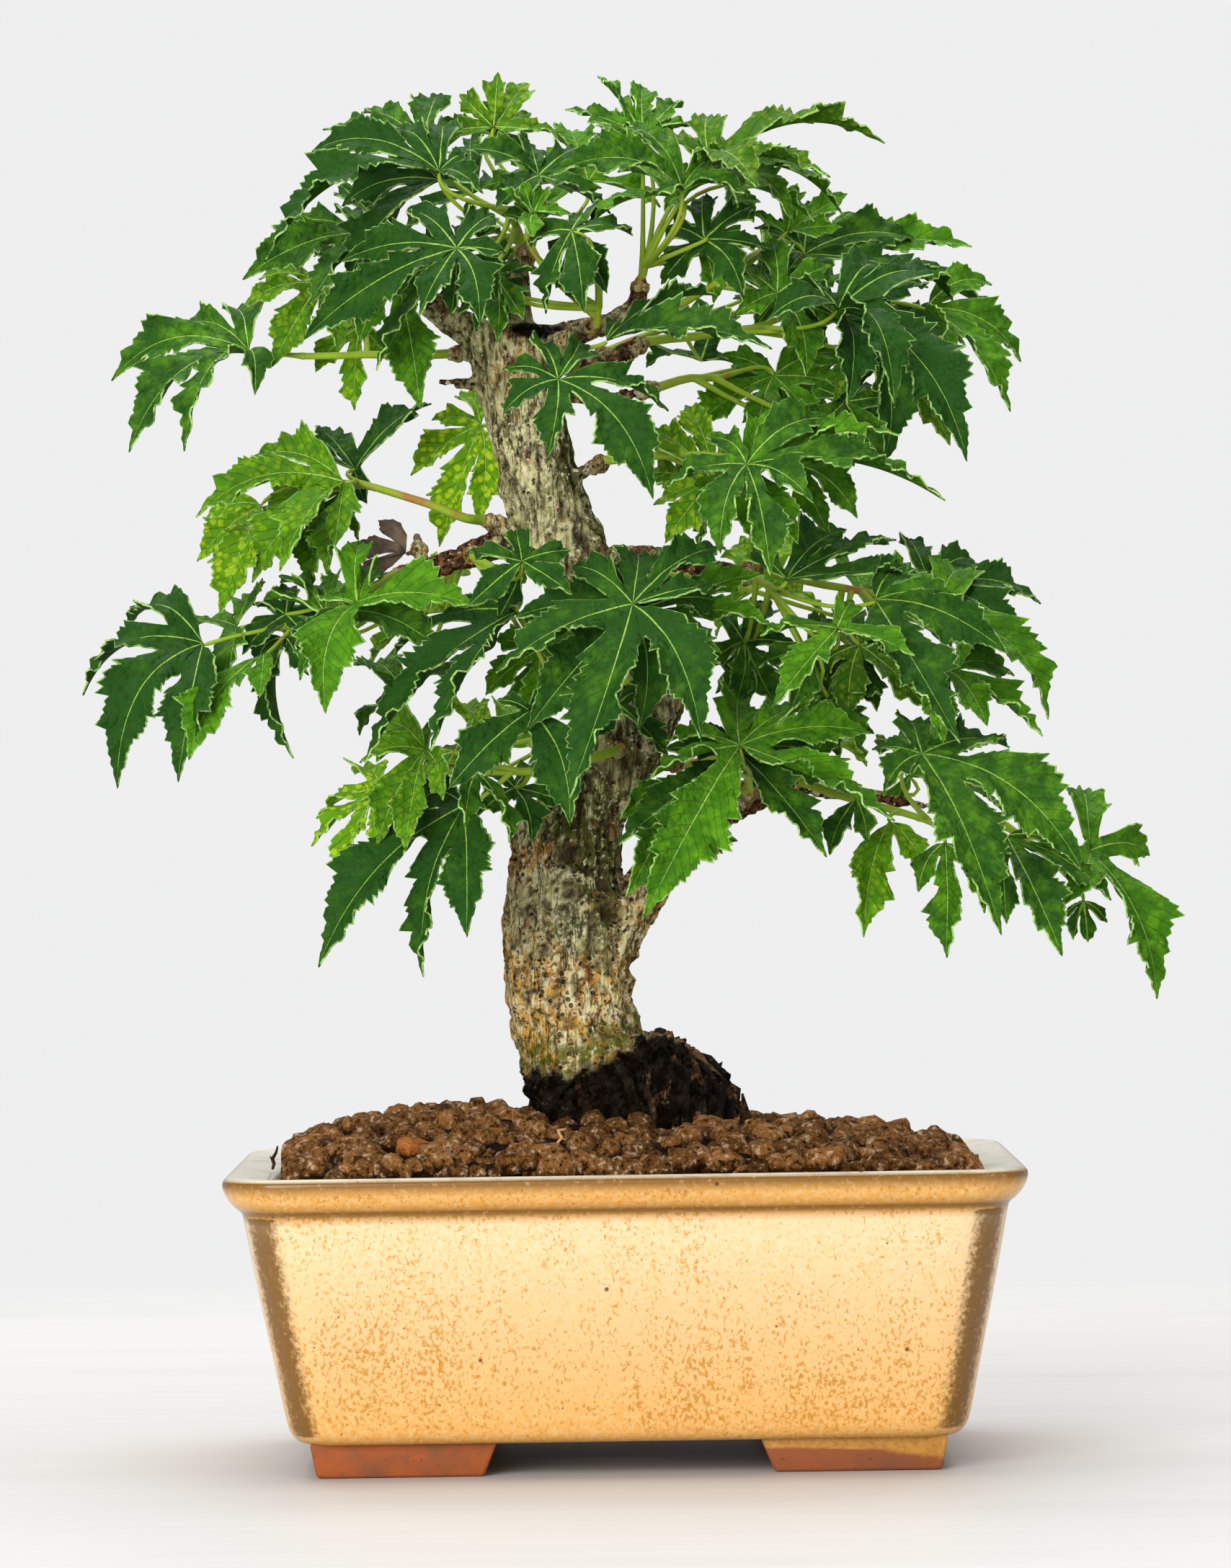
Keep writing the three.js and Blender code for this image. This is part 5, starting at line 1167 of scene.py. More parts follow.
def shape_pot(glaze):
    """The glazed bowl with its lip and its two drain holes."""
    bm = bmesh.new()
    layer = bm.verts.layers.float_color.new("glaze_zone")
    rings = [rounded_ring(bm, z, half, corner, tones, layer) for z, half, corner, *tones in POT_PROFILE]
    for below, above in zip(rings, rings[1:]):
        bmesh.ops.bridge_loops(bm, edges=below + above)
    drains = []
    for ring, (height, *_) in ((rings[0], POT_PROFILE[0]), (rings[-1], POT_PROFILE[-1])):
        holes = []
        for side in (-1, 1):
            place = Matrix.Translation((side * DRAIN_ACROSS, 0, height))
            circle = bmesh.ops.create_circle(bm, segments=24, radius=DRAIN_RADIUS, matrix=place)["verts"]
            for vert in circle:
                vert[layer] = DRAIN_TONE
            holes.append(list({edge for vert in circle for edge in vert.link_edges}))
        drains.append(holes)
        bmesh.ops.triangle_fill(bm, use_beauty=True, edges=ring + holes[0] + holes[1])
    for under, over in zip(*drains):
        bmesh.ops.bridge_loops(bm, edges=under + over)
    bmesh.ops.recalc_face_normals(bm, faces=bm.faces)
    piece = finish_piece("pot_bowl", bm, [glaze], ("pot",), sharp=70)
    smooth = piece.modifiers.new("even glaze", "SUBSURF")
    smooth.levels = smooth.render_levels = 1


def shape_feet(clay):
    """Four bracket feet, each two bars with slanted inner ends."""
    bm = bmesh.new()
    layer = bm.verts.layers.float_color.new("glaze_zone")
    outer, inner, wide = FOOT_OUTER, FOOT_INNER, FOOT_OUTER - LONGER
    outline = [(outer, wide), (inner, wide), (inner, wide - FOOT_THICK),
               (outer - FOOT_THICK, wide - FOOT_THICK), (outer - FOOT_THICK, wide - FOOT_SIDE),
               (outer, wide - FOOT_SIDE)]
    for sign_x in (-1, 1):
        for sign_y in (-1, 1):
            verts = [bm.verts.new((x * sign_x, y * sign_y, FOOT_HEIGHT)) for x, y in outline]
            pulled = bmesh.ops.extrude_face_region(bm, geom=[bm.faces.new(verts)])["geom"]
            lower = [item for item in pulled if isinstance(item, bmesh.types.BMVert)]
            bmesh.ops.translate(bm, vec=(0, 0, -FOOT_HEIGHT), verts=lower)
            for vert in lower:
                x, y = abs(vert.co.x), abs(vert.co.y)
                slant_x = FOOT_SLANT if x < inner + 1 else -FOOT_TAPER if x > outer - 1 else 0
                slant_y = FOOT_SLANT if y < wide - FOOT_SIDE + 1 else -FOOT_TAPER if y > wide - 1 else 0
                vert.co.x += sign_x * slant_x
                vert.co.y += sign_y * slant_y
            runs = 1.0 if sign_x > 0 and sign_y < 0 else 0.0
            worn = 0.3 if sign_x < 0 else 0.9
            for vert in verts:
                vert[layer] = (runs, worn, 0, 0)
            for vert in lower:
                reach = smoothstep(inner + 4, outer, abs(vert.co.x))
                vert[layer] = (runs * (0.75 * reach - 0.4), worn, 0, 0)
    bmesh.ops.recalc_face_normals(bm, faces=bm.faces)
    bmesh.ops.bevel(bm, geom=bm.edges[:], offset=0.7, offset_type="OFFSET", segments=2, profile=0.5,
                    affect="EDGES", material=-1)
    bmesh.ops.triangulate(bm, faces=[face for face in bm.faces if len(face.verts) > 4])
    finish_piece("pot_feet", bm, [clay], (), sharp=40)


# Soil, in mm

FIELD = (63.0, 45.0)  # how far the rows of grains reach along and across, from the pot's middle
FIELD_EDGES = ((-58.2, 59.6), (-41.6, 41.6))  # grains past these are drawn back to them
LEAST_GROUND = 45.0  # lower than this there is no soil
FRESH_GRAIN = (-37.5, -33.0)  # where the one fresh, orange grain lies: (across, depth)


def held(value, edges):
    """The value, no further out than the two edges."""
    return max(edges[0], min(edges[1], value))


def scatter_grains(settings, material):
    """Loose grains of clay in rows over the soil, each with its own place, turn and size."""
    rng = random.Random(41)
    ground = node_tree("soil")
    bm = bmesh.new()
    layer = bm.verts.layers.float_color.new("grain_look")
    step = settings.grain_step / MM
    row = 0
    y = -FIELD[1]
    while y < FIELD[1]:
        x = -FIELD[0] + (row % 2) * step / 2
        while x < FIELD[0]:
            spot = Vector((held(x + rng.uniform(-0.3, 0.3) * step, FIELD_EDGES[0]),
                           held(y + rng.uniform(-0.3, 0.3) * step, FIELD_EDGES[1]), 100))
            x += step
            hit = ground.ray_cast(spot * MM, DOWN)[0]
            if hit is None or hit.z < LEAST_GROUND * MM:
                continue
            size = rng.uniform(settings.least_grain, settings.most_grain) / MM
            size *= 1.35 if rng.random() < 0.12 else 1.0
            sink = 0.16 if (spot.y < 0 or rng.random() < 0.7) else 0.4
            proud = rng.uniform(-1.4, 1.3)
            place = Vector((spot.x, spot.y, hit.z / MM - sink * size + proud))
            turn = Matrix.Rotation(rng.uniform(0, math.tau), 4, Vector((rng.gauss(0, 1), rng.gauss(0, 1), 1)))
            stretch = Matrix.Diagonal((size * rng.uniform(0.8, 1.2), size * rng.uniform(0.8, 1.1),
                                       size * rng.uniform(0.8, 1.1), 1))
            cube = bmesh.ops.create_cube(bm, size=0.86, matrix=Matrix.Translation(place) @ turn @ stretch)
            # Painted shade: grains that lie lower are darker, and the third value, the height within the
            # grain, darkens its lower part in the material
            shade = rng.uniform(0.3, 1.0) * (0.4 + 0.6 * smoothstep(-1.4, 0.5, proud))
            orange = 0.8 if (place.xy - Vector(FRESH_GRAIN)).length < 0.55 * step else 0.0
            for vert in cube["verts"]:
                vert[layer] = (shade, orange, (vert.co.z - place.z) / size + 0.5, 1)
                vert.co += noise.noise_vector(vert.co * 0.9) * (0.10 * size)
        y += step * 0.866
        row += 1
    bmesh.ops.bevel(bm, geom=bm.edges[:], offset=31, offset_type="PERCENT", segments=2, profile=0.5,
                    affect="EDGES", material=-1)
    for vert in bm.verts:
        vert.co += noise.noise_vector(vert.co * 0.75) * 0.55 + noise.noise_vector(vert.co * 2.1) * 0.3
    finish_piece("soil_grains", bm, [material], (), sharp=75)


# Wood, in mm

# Knots, healed cuts and swellings: (across, height, radius, how proud, hollow), as seen in front
MARKS = [
    (-2, 98, 4.2, 1.3, 1.4), (-9.4, 109, 5.2, 0.7, 0.6), (-8.8, 102, 4.0, 0.6, 0.5),
    (-18.5, 176, 2.6, 0.9, 0.4), (-6, 166, 3.6, 1.0, 0.4), (-12, 188, 2.4, 0.7, 0.5),
    (-14, 92, 3.0, 0.9, 0.8), (2.6, 88, 3.2, 0.8, 0.6), (-12, 146, 2.8, 0.6, 0.3),
]

# Places on the trunk's front with a bark of their own:
# (across, height, half width, half height; grey, pale, gold, 0 to 1)
BARK_PATCHES = [
    (-6, 117, 7, 8, 1, 0, 0), (-4, 106, 6, 7, 1, 0, 0), (-15.5, 120, 4, 6, 0, 0, 1),
    (-17, 108, 5, 4, 0, 0, 1), (-15, 99, 5, 7, 0.4, 0.5, 0), (-9.5, 97, 3.6, 6, 0, 1, 0),
    (-4, 96, 5, 4, 0.8, 0.2, 0), (-13, 87, 6, 4, 0, 0, 1), (-5, 84, 8, 5, 0, 0.2, 1),
    (3, 104, 3.5, 8, 0, 0.3, 0.9), (2, 92, 4, 5, 0.5, 0, 0.5), (-17.5, 86, 3, 7, 0, 0, 1),
    (-7, 185, 4, 14, 0.9, 0, 0), (-2, 170, 4, 8, 0.9, 0, 0), (-14, 180, 4, 16, 0, 0.8, 0),
    (-10, 168, 5, 6, 0, 0.7, 0), (4, 128, 7, 6, 0.9, 0, 0), (-17, 196, 4, 7, 0, 0.2, 0.6),
]

# The old black cut at the top of the trunk: (across, height, half width, half height)
CUT_FACE = (-14.0, 203.6, 4.4, 1.5)

# Where the trunk's middle lies across: (height, across)
TRUNK_LINE = (
    (50, -4), (70, -6), (93, -10), (113, -9), (127, -1), (141, 5), (155, -2), (171, -12),
    (194, -17.5), (206, -19),
)
TRUNK_TOP = 206

# Stout roots that stand out on the front: (across, height) from crown to soil, radius, how much painted brown
# highlight
ROOT_RIDGES = [
    (((7.6, 73.5), (9.6, 70.5), (11.0, 67.0), (11.2, 62.0), (10.4, 58.5)), 0.8, 0.0),
    (((12.0, 72.6), (13.4, 69.5), (14.2, 66.0), (14.4, 60.0)), 0.7, 0.2),
    (((10.5, 74.6), (13.2, 72.4), (15.4, 69.6), (17.8, 67.2), (19.2, 63.0), (20.0, 59.0)), 0.9, 0.9),
    (((-1.5, 71.5), (1.0, 68.0), (2.0, 64.0), (1.2, 60.0)), 1.1, 0.05),
    (((4.8, 70.5), (4.0, 66.5), (5.2, 62.5), (5.0, 59.0)), 0.9, 0.15),
    (((-8.0, 66.5), (-6.5, 63.5), (-7.2, 60.0)), 1.2, 0.1),
]
STRANDS = 44  # roots all round the crown
STRAND_STEPS = 12
ROOT_MIDDLE = 1.2  # across, up to the height below; above it the middle leans left
ROOT_LEAN_HEIGHT = 69

# Each bud's scales: (how far past the twig's end, radius, length beside width)
BUD_SCALES = ((0.1, 1.75, 0.8), (-1.6, 1.6, 0.9), (1.0, 1.25, 1.0))

SOIL_TOP = 53.2  # where a piece of litter lies that has no soil below it
# Dark wood takes the black roots' colour with a little painted highlight
DARK_WOOD, PALE_STRAW = (1.0, 0, 0, 0.2), (0, 0, 1.0, 0)


def trunk_middle(z):
    """Where the trunk's middle lies across at a height."""
    for (low, a), (high, b) in zip(TRUNK_LINE, TRUNK_LINE[1:]):
        if z < high:
            return a + (b - a) * max(z - low, 0) / (high - low)
    return TRUNK_LINE[-1][1]


def root_line(x):
    """How high the black crown of roots reaches at a place across the trunk."""
    return 70.0 + 6.2 * smoothstep(-10, 6, x)


def trunk_skin(step):
    """The CAD's trunk as an even skin with rounded limbs, in metres."""
    bm = bmesh.new()
    bm.from_mesh(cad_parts["trunk"].data)
    bmesh.ops.remove_doubles(bm, verts=bm.verts, dist=1e-6)

    def refine(holder):
        voxels = holder.modifiers.new("even skin", "REMESH")
        voxels.mode = "VOXEL"
        voxels.voxel_size = step
        melt = holder.modifiers.new("rounded limbs", "LAPLACIANSMOOTH")
        melt.lambda_factor = 1.6
        melt.iterations = 4
        melt.use_volume_preserve = True

    return dressed_copy(plain_mesh("trunk core", bm), refine)


def bark_marks(place, move, crack):
    """The bark's shift and crack at a place, with the knots and healed cuts added."""
    x, y, z = place
    for across, height, radius, proud, hollow in MARKS:
        away = math.hypot(x - across, z - height) / radius
        if y < 2 and away < 1.5:
            pit = smoothstep(0.6, 0.1, away)
            move += proud * math.exp(-((away - 0.75) / 0.3) ** 2) - hollow * pit
            crack = max(crack, pit)
    return move, crack


def bark_kinds(place, rough):
    """How grey, pale and golden the listed patches make the bark at a place."""
    x, y, z = place
    kinds = [0.0, 0.0, 0.0]
    ragged = 0.5 * rough + 0.35 * noise.noise(place * 0.9)
    for across, height, half_width, half_height, *levels in BARK_PATCHES:
        away = math.hypot((x - across) / half_width, (z - height) / half_height)
        inside = smoothstep(1.25, 0.75, away + ragged) if y < 3 else 0.0
        kinds = [max(kind, inside * level) for kind, level in zip(kinds, levels)]
    return kinds


def bark_relief(place, black, gold):
    """How far the bark stands out at a place, and how deep a crack is there."""
    x, y, z = place
    stout = smoothstep(5.2, 7.5, Vector((x - trunk_middle(z), y, 0)).length) if z < TRUNK_TOP else 0.3
    stout = max(stout, 0.3)
    low = smoothstep(118, 92, z)
    ridge = 1 - abs(noise.noise(Vector((x * 0.5, y * 0.5, z * (0.13 + 0.22 * low))))) * 3.2
    plate = noise.noise(Vector((x * 0.23, y * 0.23, z * 0.12)))
    crack = smoothstep(0.45, 0.95, ridge)
    lump = noise.noise(place * 0.42) * 0.5 + noise.noise(place * 0.16) * 0.9
    move = (0.35 * plate - (0.75 - 0.35 * low) * crack + (0.35 + 0.5 * low) * lump) * stout
    move += 0.16 * noise.noise(Vector((x * 1.5, y * 1.5, z * 0.6))) * stout
    knobbly = noise.noise(place * 0.8) + 0.6 * noise.noise(place * 1.7)
    move = move * (1 - 0.6 * black) + 1.7 * knobbly * black * smoothstep(60, 66, z)
    move += 0.22 * gold * (1 - black) * noise.noise(place * 1.2)
    return move, crack


def shape_trunk(settings, bark):
    """The trunk and its boughs with their bark; gives its surface back, for what lies on it."""
    bm = bmesh.new()
    bm.from_mesh(trunk_skin(settings.skin_step))
    bmesh.ops.scale(bm, vec=(1 / MM,) * 3, verts=bm.verts)
    bm.normal_update()
    zone = bm.verts.layers.float_color.new("bark_zone")
    patch = bm.verts.layers.float_color.new("bark_patch")
    moves = []
    for vert in bm.verts:
        x, y, z = vert.co
        rough = noise.noise(vert.co * 0.35)
        black = smoothstep(1.2, -1.2, z - root_line(x) - 2.2 * rough)
        moss = smoothstep(9, 1.5, z - root_line(x) - 3 * rough) * (1 - black) * smoothstep(9, 2, x)
        gold = smoothstep(112, 90, z + 4 * rough)
        move, crack = bark_relief(vert.co, black, gold)
        if y < 3:
            off = math.hypot((x - CUT_FACE[0]) / CUT_FACE[2], (z - CUT_FACE[1]) / CUT_FACE[3])
            black = max(black, smoothstep(1.3, 0.9, off + 0.4 * rough))
        move, crack = bark_marks(vert.co, move, crack)
        grey, pale, golden = bark_kinds(vert.co, rough)
        gold = max(gold * (1 - max(grey, pale)), golden)
        limb = smoothstep(8.5, 11.5, abs(x - trunk_middle(z))) * smoothstep(100, 108, z)
        limb = max(limb, smoothstep(204, 210, z))
        vert[patch] = (grey, pale, limb, 0)
        vert[zone] = (black, moss, gold, crack * (1 - black))
        moves.append(vert.normal * move * smoothstep(52, 60, z))
    for vert, move in zip(bm.verts, moves):
        vert.co += move
    skin = BVHTree.FromBMesh(bm)
    finish_piece("trunk_bark", bm, [bark], ("trunk",), sharp=180)
    return skin


def strand_path(rng, skin, strand):
    """The points of one root strand down the crown, where rays from outside meet the skin."""
    angle = strand / STRANDS * math.tau + rng.uniform(-0.1, 0.1)
    top = root_line(ROOT_MIDDLE + 12 * math.cos(angle)) - rng.uniform(1.0, 9.0)
    foot = rng.uniform(55.5, 57.5)
    swing = rng.uniform(-0.75, 0.75)
    path = []
    for step in range(STRAND_STEPS + 1):
        share = step / STRAND_STEPS
        height = top + (foot - top) * share
        turned = angle + swing * share + 0.08 * math.sin(5 * share + strand)
        lean = (height - ROOT_LEAN_HEIGHT) * 0.75 if height >= ROOT_LEAN_HEIGHT else 0
        out = Vector((math.cos(turned), math.sin(turned), 0))
        hit = skin.ray_cast(Vector((ROOT_MIDDLE - lean, 0, height)) + out * 40, -out)[0]
        if hit is not None:
            path.append(hit + out * (0.5 * noise.noise(hit * 0.5)))
    return path


def wrap_roots(skin, bark):
    """Strands of old root that run down the black crown into the soil."""
    rng = random.Random(7)
    bm = bmesh.new()
    bm.verts.layers.float_color.new("bark_zone")
    for strand in range(STRANDS):
        path = strand_path(rng, skin, strand)
        if len(path) < 6:
            continue
        size = rng.choice((0.5, 0.65, 0.8, 1.0, 1.25))
        radii = [size * (0.35 + 0.65 * smoothstep(0, 0.25, k / len(path))) * rng.uniform(0.9, 1.1)
                 for k in range(len(path))]
        tube(bm, path, radii, 7, 0, (1, 0, 0, 0))
    for line, size, brown in ROOT_RIDGES:
        hits = [skin.ray_cast(Vector((x, -60, z)), Vector((0, 1, 0)))[0] for x, z in line]
        path = wander(rng, [hit for hit in hits if hit is not None], 0.2, 3)
        radii = [size * (0.5 + 0.5 * smoothstep(0, 0.3, k / len(path))) for k in range(len(path))]
        tube(bm, path, radii, 8, 0, (1, 0, 0, brown))
    finish_piece("root_strands", bm, [bark], (), sharp=60)


def set_buds(bark):
    """The scaly buds and swellings from which the sprays grow."""
    rng = random.Random(3)
    bm = bmesh.new()
    layer = bm.verts.layers.float_color.new("bark_zone")
    for spray in SPRAYS.values():
        before, end = (seen(point) for point in spray["twig"])
        out = (end - before).normalized()
        aim = UP.rotation_difference(out).to_matrix().to_4x4()
        for past, radius, long in BUD_SCALES:
            matrix = Matrix.Translation(end + out * past) @ aim @ Matrix.Diagonal((1, 1, long, 1))
            ball = bmesh.ops.create_icosphere(bm, subdivisions=2, radius=radius * rng.uniform(0.9, 1.1),
                                              matrix=matrix)["verts"]
            tone = (0, 0, rng.uniform(0.5, 1.0), rng.uniform(0, 0.5))
            for vert in ball:
                vert.co += noise.noise_vector(vert.co * 1.3) * 0.35
                vert[layer] = tone
    finish_piece("bud_scales", bm, [bark], (), sharp=180)


def lay_litter(bark, straw):
    """Dead twig tips, a pale root and straw on the soil."""
    rng = random.Random(19)
    bm = bmesh.new()
    bm.verts.layers.float_color.new("bark_zone")
    ground = node_tree("soil")

    def resting(x, y, proud):
        hit = ground.ray_cast(Vector((x, y, 100)) * MM, DOWN)[0]
        return Vector((x, y, (hit.z / MM if hit else SOIL_TOP) + proud))

    spike = resting(21.5, -12, 0)
    spike_path = [spike + Vector(step) for step in ((0, 0, 0), (0.3, 0, 3), (-0.2, 0, 6.6))]
    tube(bm, spike_path, [1.3, 0.9, 0.2], 7, 0, DARK_WOOD)
    edge = Vector((-63.2, -14, 53.3))
    steps = ((0, 0, 0), (0.3, 0, 1.0), (0, 0, 1.9), (0.7, 0, 3.0), (1.0, 0, 4.2))
    stick = [edge + Vector(step) for step in steps]
    tube(bm, stick, [0.26, 0.36, 0.4, 0.3, 0.16], 6, 0, DARK_WOOD)
    tube(bm, [stick[2], stick[2] + Vector((-0.5, 0, 0.5))], [0.22, 0.08], 6, 0, DARK_WOOD)
    steps = ((1.2, 3.0, 2.6), (-0.2, 1.6, 2.8), (0.6, 0, 2.6), (-0.4, -1.2, 2.2), (0.8, -2.4, 1.6),
             (0.4, -4, 1.0))
    root = [resting(-11.5 + x, -36 + y, proud) for x, y, proud in steps]
    tube(bm, wander(rng, root, 0.15, 2), [0.3] * 5 + [0.26] * 4 + [0.2] * 2, 6, 1, PALE_STRAW)
    for _ in range(3):
        spot = resting(rng.uniform(-56, 58), rng.uniform(-40, 38), 2.1)
        way = Vector((rng.uniform(-1, 1), rng.uniform(-1, 1), rng.uniform(-0.1, 0.2))).normalized()
        long = rng.uniform(1.5, 4.5)
        tube(bm, wander(rng, [spot, spot + way * long], 0.1, 3), [0.22] * 4, 5, 1, PALE_STRAW)
    finish_piece("soil_litter", bm, [bark, straw], (), sharp=180)


# Stage, in metres

# Each lamp: (name, place, size, the setting with its power)
LAMPS = (
    ("key", (-0.5, -1.15, 0.42), 0.8, "key_light"),
    ("top", (0.0, 0.3, 1.2), 1.3, "top_light"),
    ("fill", (0.9, -0.8, 0.35), 0.8, "fill_light"),
)
LAMP_TARGET = Vector((0, 0, 0.12))


def set_camera():
    """The camera where the photograph was taken."""
    lens = bpy.data.cameras.new("camera")
    lens.lens = FOCAL_LENGTH
    lens.sensor_width = lens.sensor_height = SENSOR
    lens.sensor_fit = "AUTO"
    lens.clip_end = 20
    camera = put_in_scene("camera", lens)
    turn = Matrix.Rotation(math.pi / 2, 4, "X") @ Matrix.Rotation(-EYE_ROLL, 4, "Z")
    camera.matrix_world = Matrix.Translation((EYE + Vector((EYE_SIDESTEP, 0, 0))) * MM) @ turn
    bpy.context.scene.camera = camera


def lay_floor(stage):
    """A round, pale board under the pot."""
    bm = bmesh.new()
    bmesh.ops.create_circle(bm, cap_ends=True, segments=64, radius=stage.floor_radius)
    floor = put_in_scene("floor", plain_mesh("floor", bm))
    floor.data.materials.append(floor_finish(stage))


def light_studio(stage):
    """A bright backdrop that lights the tree less than it shows, and soft lamps."""
    scene = bpy.context.scene
    scene.view_settings.view_transform = "Standard"
    scene.world = bpy.data.worlds.new("studio")
    scene.world.use_nodes = True
    tree = scene.world.node_tree
    back = tree.nodes["Background"]
    back.inputs["Color"].default_value = (*stage.backdrop_colour, 1)
    seen_by = tree.nodes.new("ShaderNodeLightPath")
    level = tree.nodes.new("ShaderNodeMapRange")
    tree.links.new(seen_by.outputs["Is Camera Ray"], level.inputs["Value"])
    level.inputs["To Min"].default_value = stage.backdrop_light
    tree.links.new(level.outputs["Result"], back.inputs["Strength"])
    for name, place, width, power in LAMPS:
        light = bpy.data.lights.new(name, "AREA")
        light.shape = "SQUARE"
        light.size = width
        light.energy = getattr(stage, power)
        aim = (LAMP_TARGET - Vector(place)).to_track_quat("-Z", "Y").to_matrix().to_4x4()
        put_in_scene(name, light).matrix_world = Matrix.Translation(place) @ aim


# Settings


def metres(name, description, default, least=0.0):
    """A length that the user can change."""
    return FloatProperty(name=name, description=description, default=default, min=least,
                         unit="LENGTH", precision=5)


def factor(name, description, default):
    """A share that the user can change."""
    return FloatProperty(name=name, description=description, default=default, min=0.0, max=4.0,
                         subtype="FACTOR")


def watts(name, description, default):
    """A lamp's power that the user can change."""
    return FloatProperty(name=name, description=description, default=default, unit="POWER")


def tint(name, description, default):
    """A colour that the user can change."""
    return FloatVectorProperty(name=name, description=description, default=default, size=3,
                               subtype="COLOR", min=0.0, max=1.0)


class BonsaiStageSettings(PropertyGroup):
    floor_colour: tint("Floor", "Colour of the board under the pot", (0.565, 0.56, 0.545))
    backdrop_colour: tint("Backdrop", "Colour of the studio behind the tree", (0.86, 0.86, 0.865))
    floor_radius: metres("Floor radius", "How far the board reaches before it fades", 0.5)
    backdrop_light: factor("Studio light", "Brightness of the surrounding studio", 0.5)
    key_light: watts("Key lamp", "Power of the lamp in front", 19.0)
    top_light: watts("Top lamp", "Power of the lamp overhead", 20.0)
    fill_light: watts("Fill lamp", "Power of the lamp at the right", 3.0)


class BonsaiPotSettings(PropertyGroup):
    cream: tint("Cream", "The pot's main glaze", (0.70, 0.43, 0.17))
    biscuit: tint("Biscuit", "Lighter clouds in the glaze", (0.73, 0.55, 0.33))
    honey: tint("Honey", "The golden glaze near the foot", (0.66, 0.32, 0.065))
    tan_speck: tint("Tan specks", "Where the glaze breaks", (0.56, 0.31, 0.09))
    rust_speck: tint("Rust specks", "The darkest breaks in the glaze", (0.44, 0.185, 0.012))
    thin_glaze: tint("Thin glaze", "Where the glaze runs thin over an edge", (0.155, 0.066, 0.006))
    celadon: tint("Ledge", "The pale glaze on top of the lip", (0.82, 0.78, 0.62))
    clay_red: tint("Red clay", "The bare clay of the feet", (0.36, 0.085, 0.018))
    clay_brown: tint("Brown clay", "Worn and stained clay", (0.20, 0.07, 0.03))
    clay_dark: tint("Grit", "Dark grit in the clay", (0.07, 0.025, 0.015))
    grain_dark: tint("Grime", "Dirt on the drain screens", (0.030, 0.010, 0.001))


class BonsaiSoilSettings(PropertyGroup):
    grain_step: metres("Grain spacing", "Distance from grain to grain", 0.0038, 0.001)
    least_grain: metres("Smallest grain", "Size of the smallest grains", 0.0034)
    most_grain: metres("Largest grain", "Size of the largest grains", 0.0062)
    # The darkest grain colour also paints the shade on the lower parts of the grains, on grains that lie low
    # and on the fill between them
    grain_dark: tint("Dark clay and shade", "The darkest grains", (0.024, 0.008, 0.001))
    grain_red: tint("Red clay", "The lighter red-brown grains", (0.42, 0.18, 0.048))
    # The pale speck colour is partly painted glints
    grain_tan_and_glint: tint("Dust", "Pale specks on the grains, partly painted glints", (0.74, 0.50, 0.32))
    grain_orange: tint("Orange grain", "A few fresh grains", (0.62, 0.20, 0.04))
    straw: tint("Straw", "Fine pale root and straw", (0.55, 0.36, 0.17))


class BonsaiWoodSettings(PropertyGroup):
    skin_step: metres("Skin step", "Distance between the points of the bark", 0.0007, 0.0003)
    bark_green: tint("Green-grey bark", "Bark in the shade of the leaves", (0.135, 0.150, 0.024))
    bark_twig: tint("Young wood", "Red-brown bark of the boughs", (0.30, 0.135, 0.065))
    # This bright colour paints highlights: on pit rims and as tiny glints
    bark_glint: tint("Bark glints", "Small painted highlights", (1.0, 0.92, 0.66))
    bark_grey: tint("Smooth bark", "Smooth grey places of the bark", (0.055, 0.052, 0.020))
    bark_pale: tint("Pale bark", "Ridges of the upper bark", (0.76, 0.70, 0.32))
    bark_dark: tint("Dark bark", "Streaks of the upper bark", (0.050, 0.044, 0.008))
    bark_gold: tint("Golden bark", "The lower bark", (0.86, 0.47, 0.10))
    # The umber also paints the shade in the pits
    umber_and_pit_shade: tint("Umber", "Dark flecks of the lower bark, and painted shade in its pits", (0.026, 0.012, 0.001))
    bark_scar: tint("Scar", "Bare orange-brown patches", (0.42, 0.15, 0.05))
    # The crack colour is painted shade
    crack_shade: tint("Cracks", "Painted shade at the bottom of the cracks", (0.05, 0.028, 0.016))
    lichen: tint("Lichen", "Pale crusts", (1.0, 0.92, 0.52))
    moss_deep: tint("Deep moss", "Shaded moss and algae", (0.040, 0.056, 0.004))
    moss_bright: tint("Bright moss", "Lit moss and algae", (0.23, 0.23, 0.03))
    root_black: tint("Black root", "The wet crown of roots", (0.006, 0.0035, 0.0012))
    root_grey: tint("Root grey", "Dusty places on the black roots", (0.022, 0.017, 0.012))
    # This brown colour paints highlights on the roots
    root_highlight: tint("Root highlight", "Painted highlights on the roots", (0.26, 0.13, 0.065))


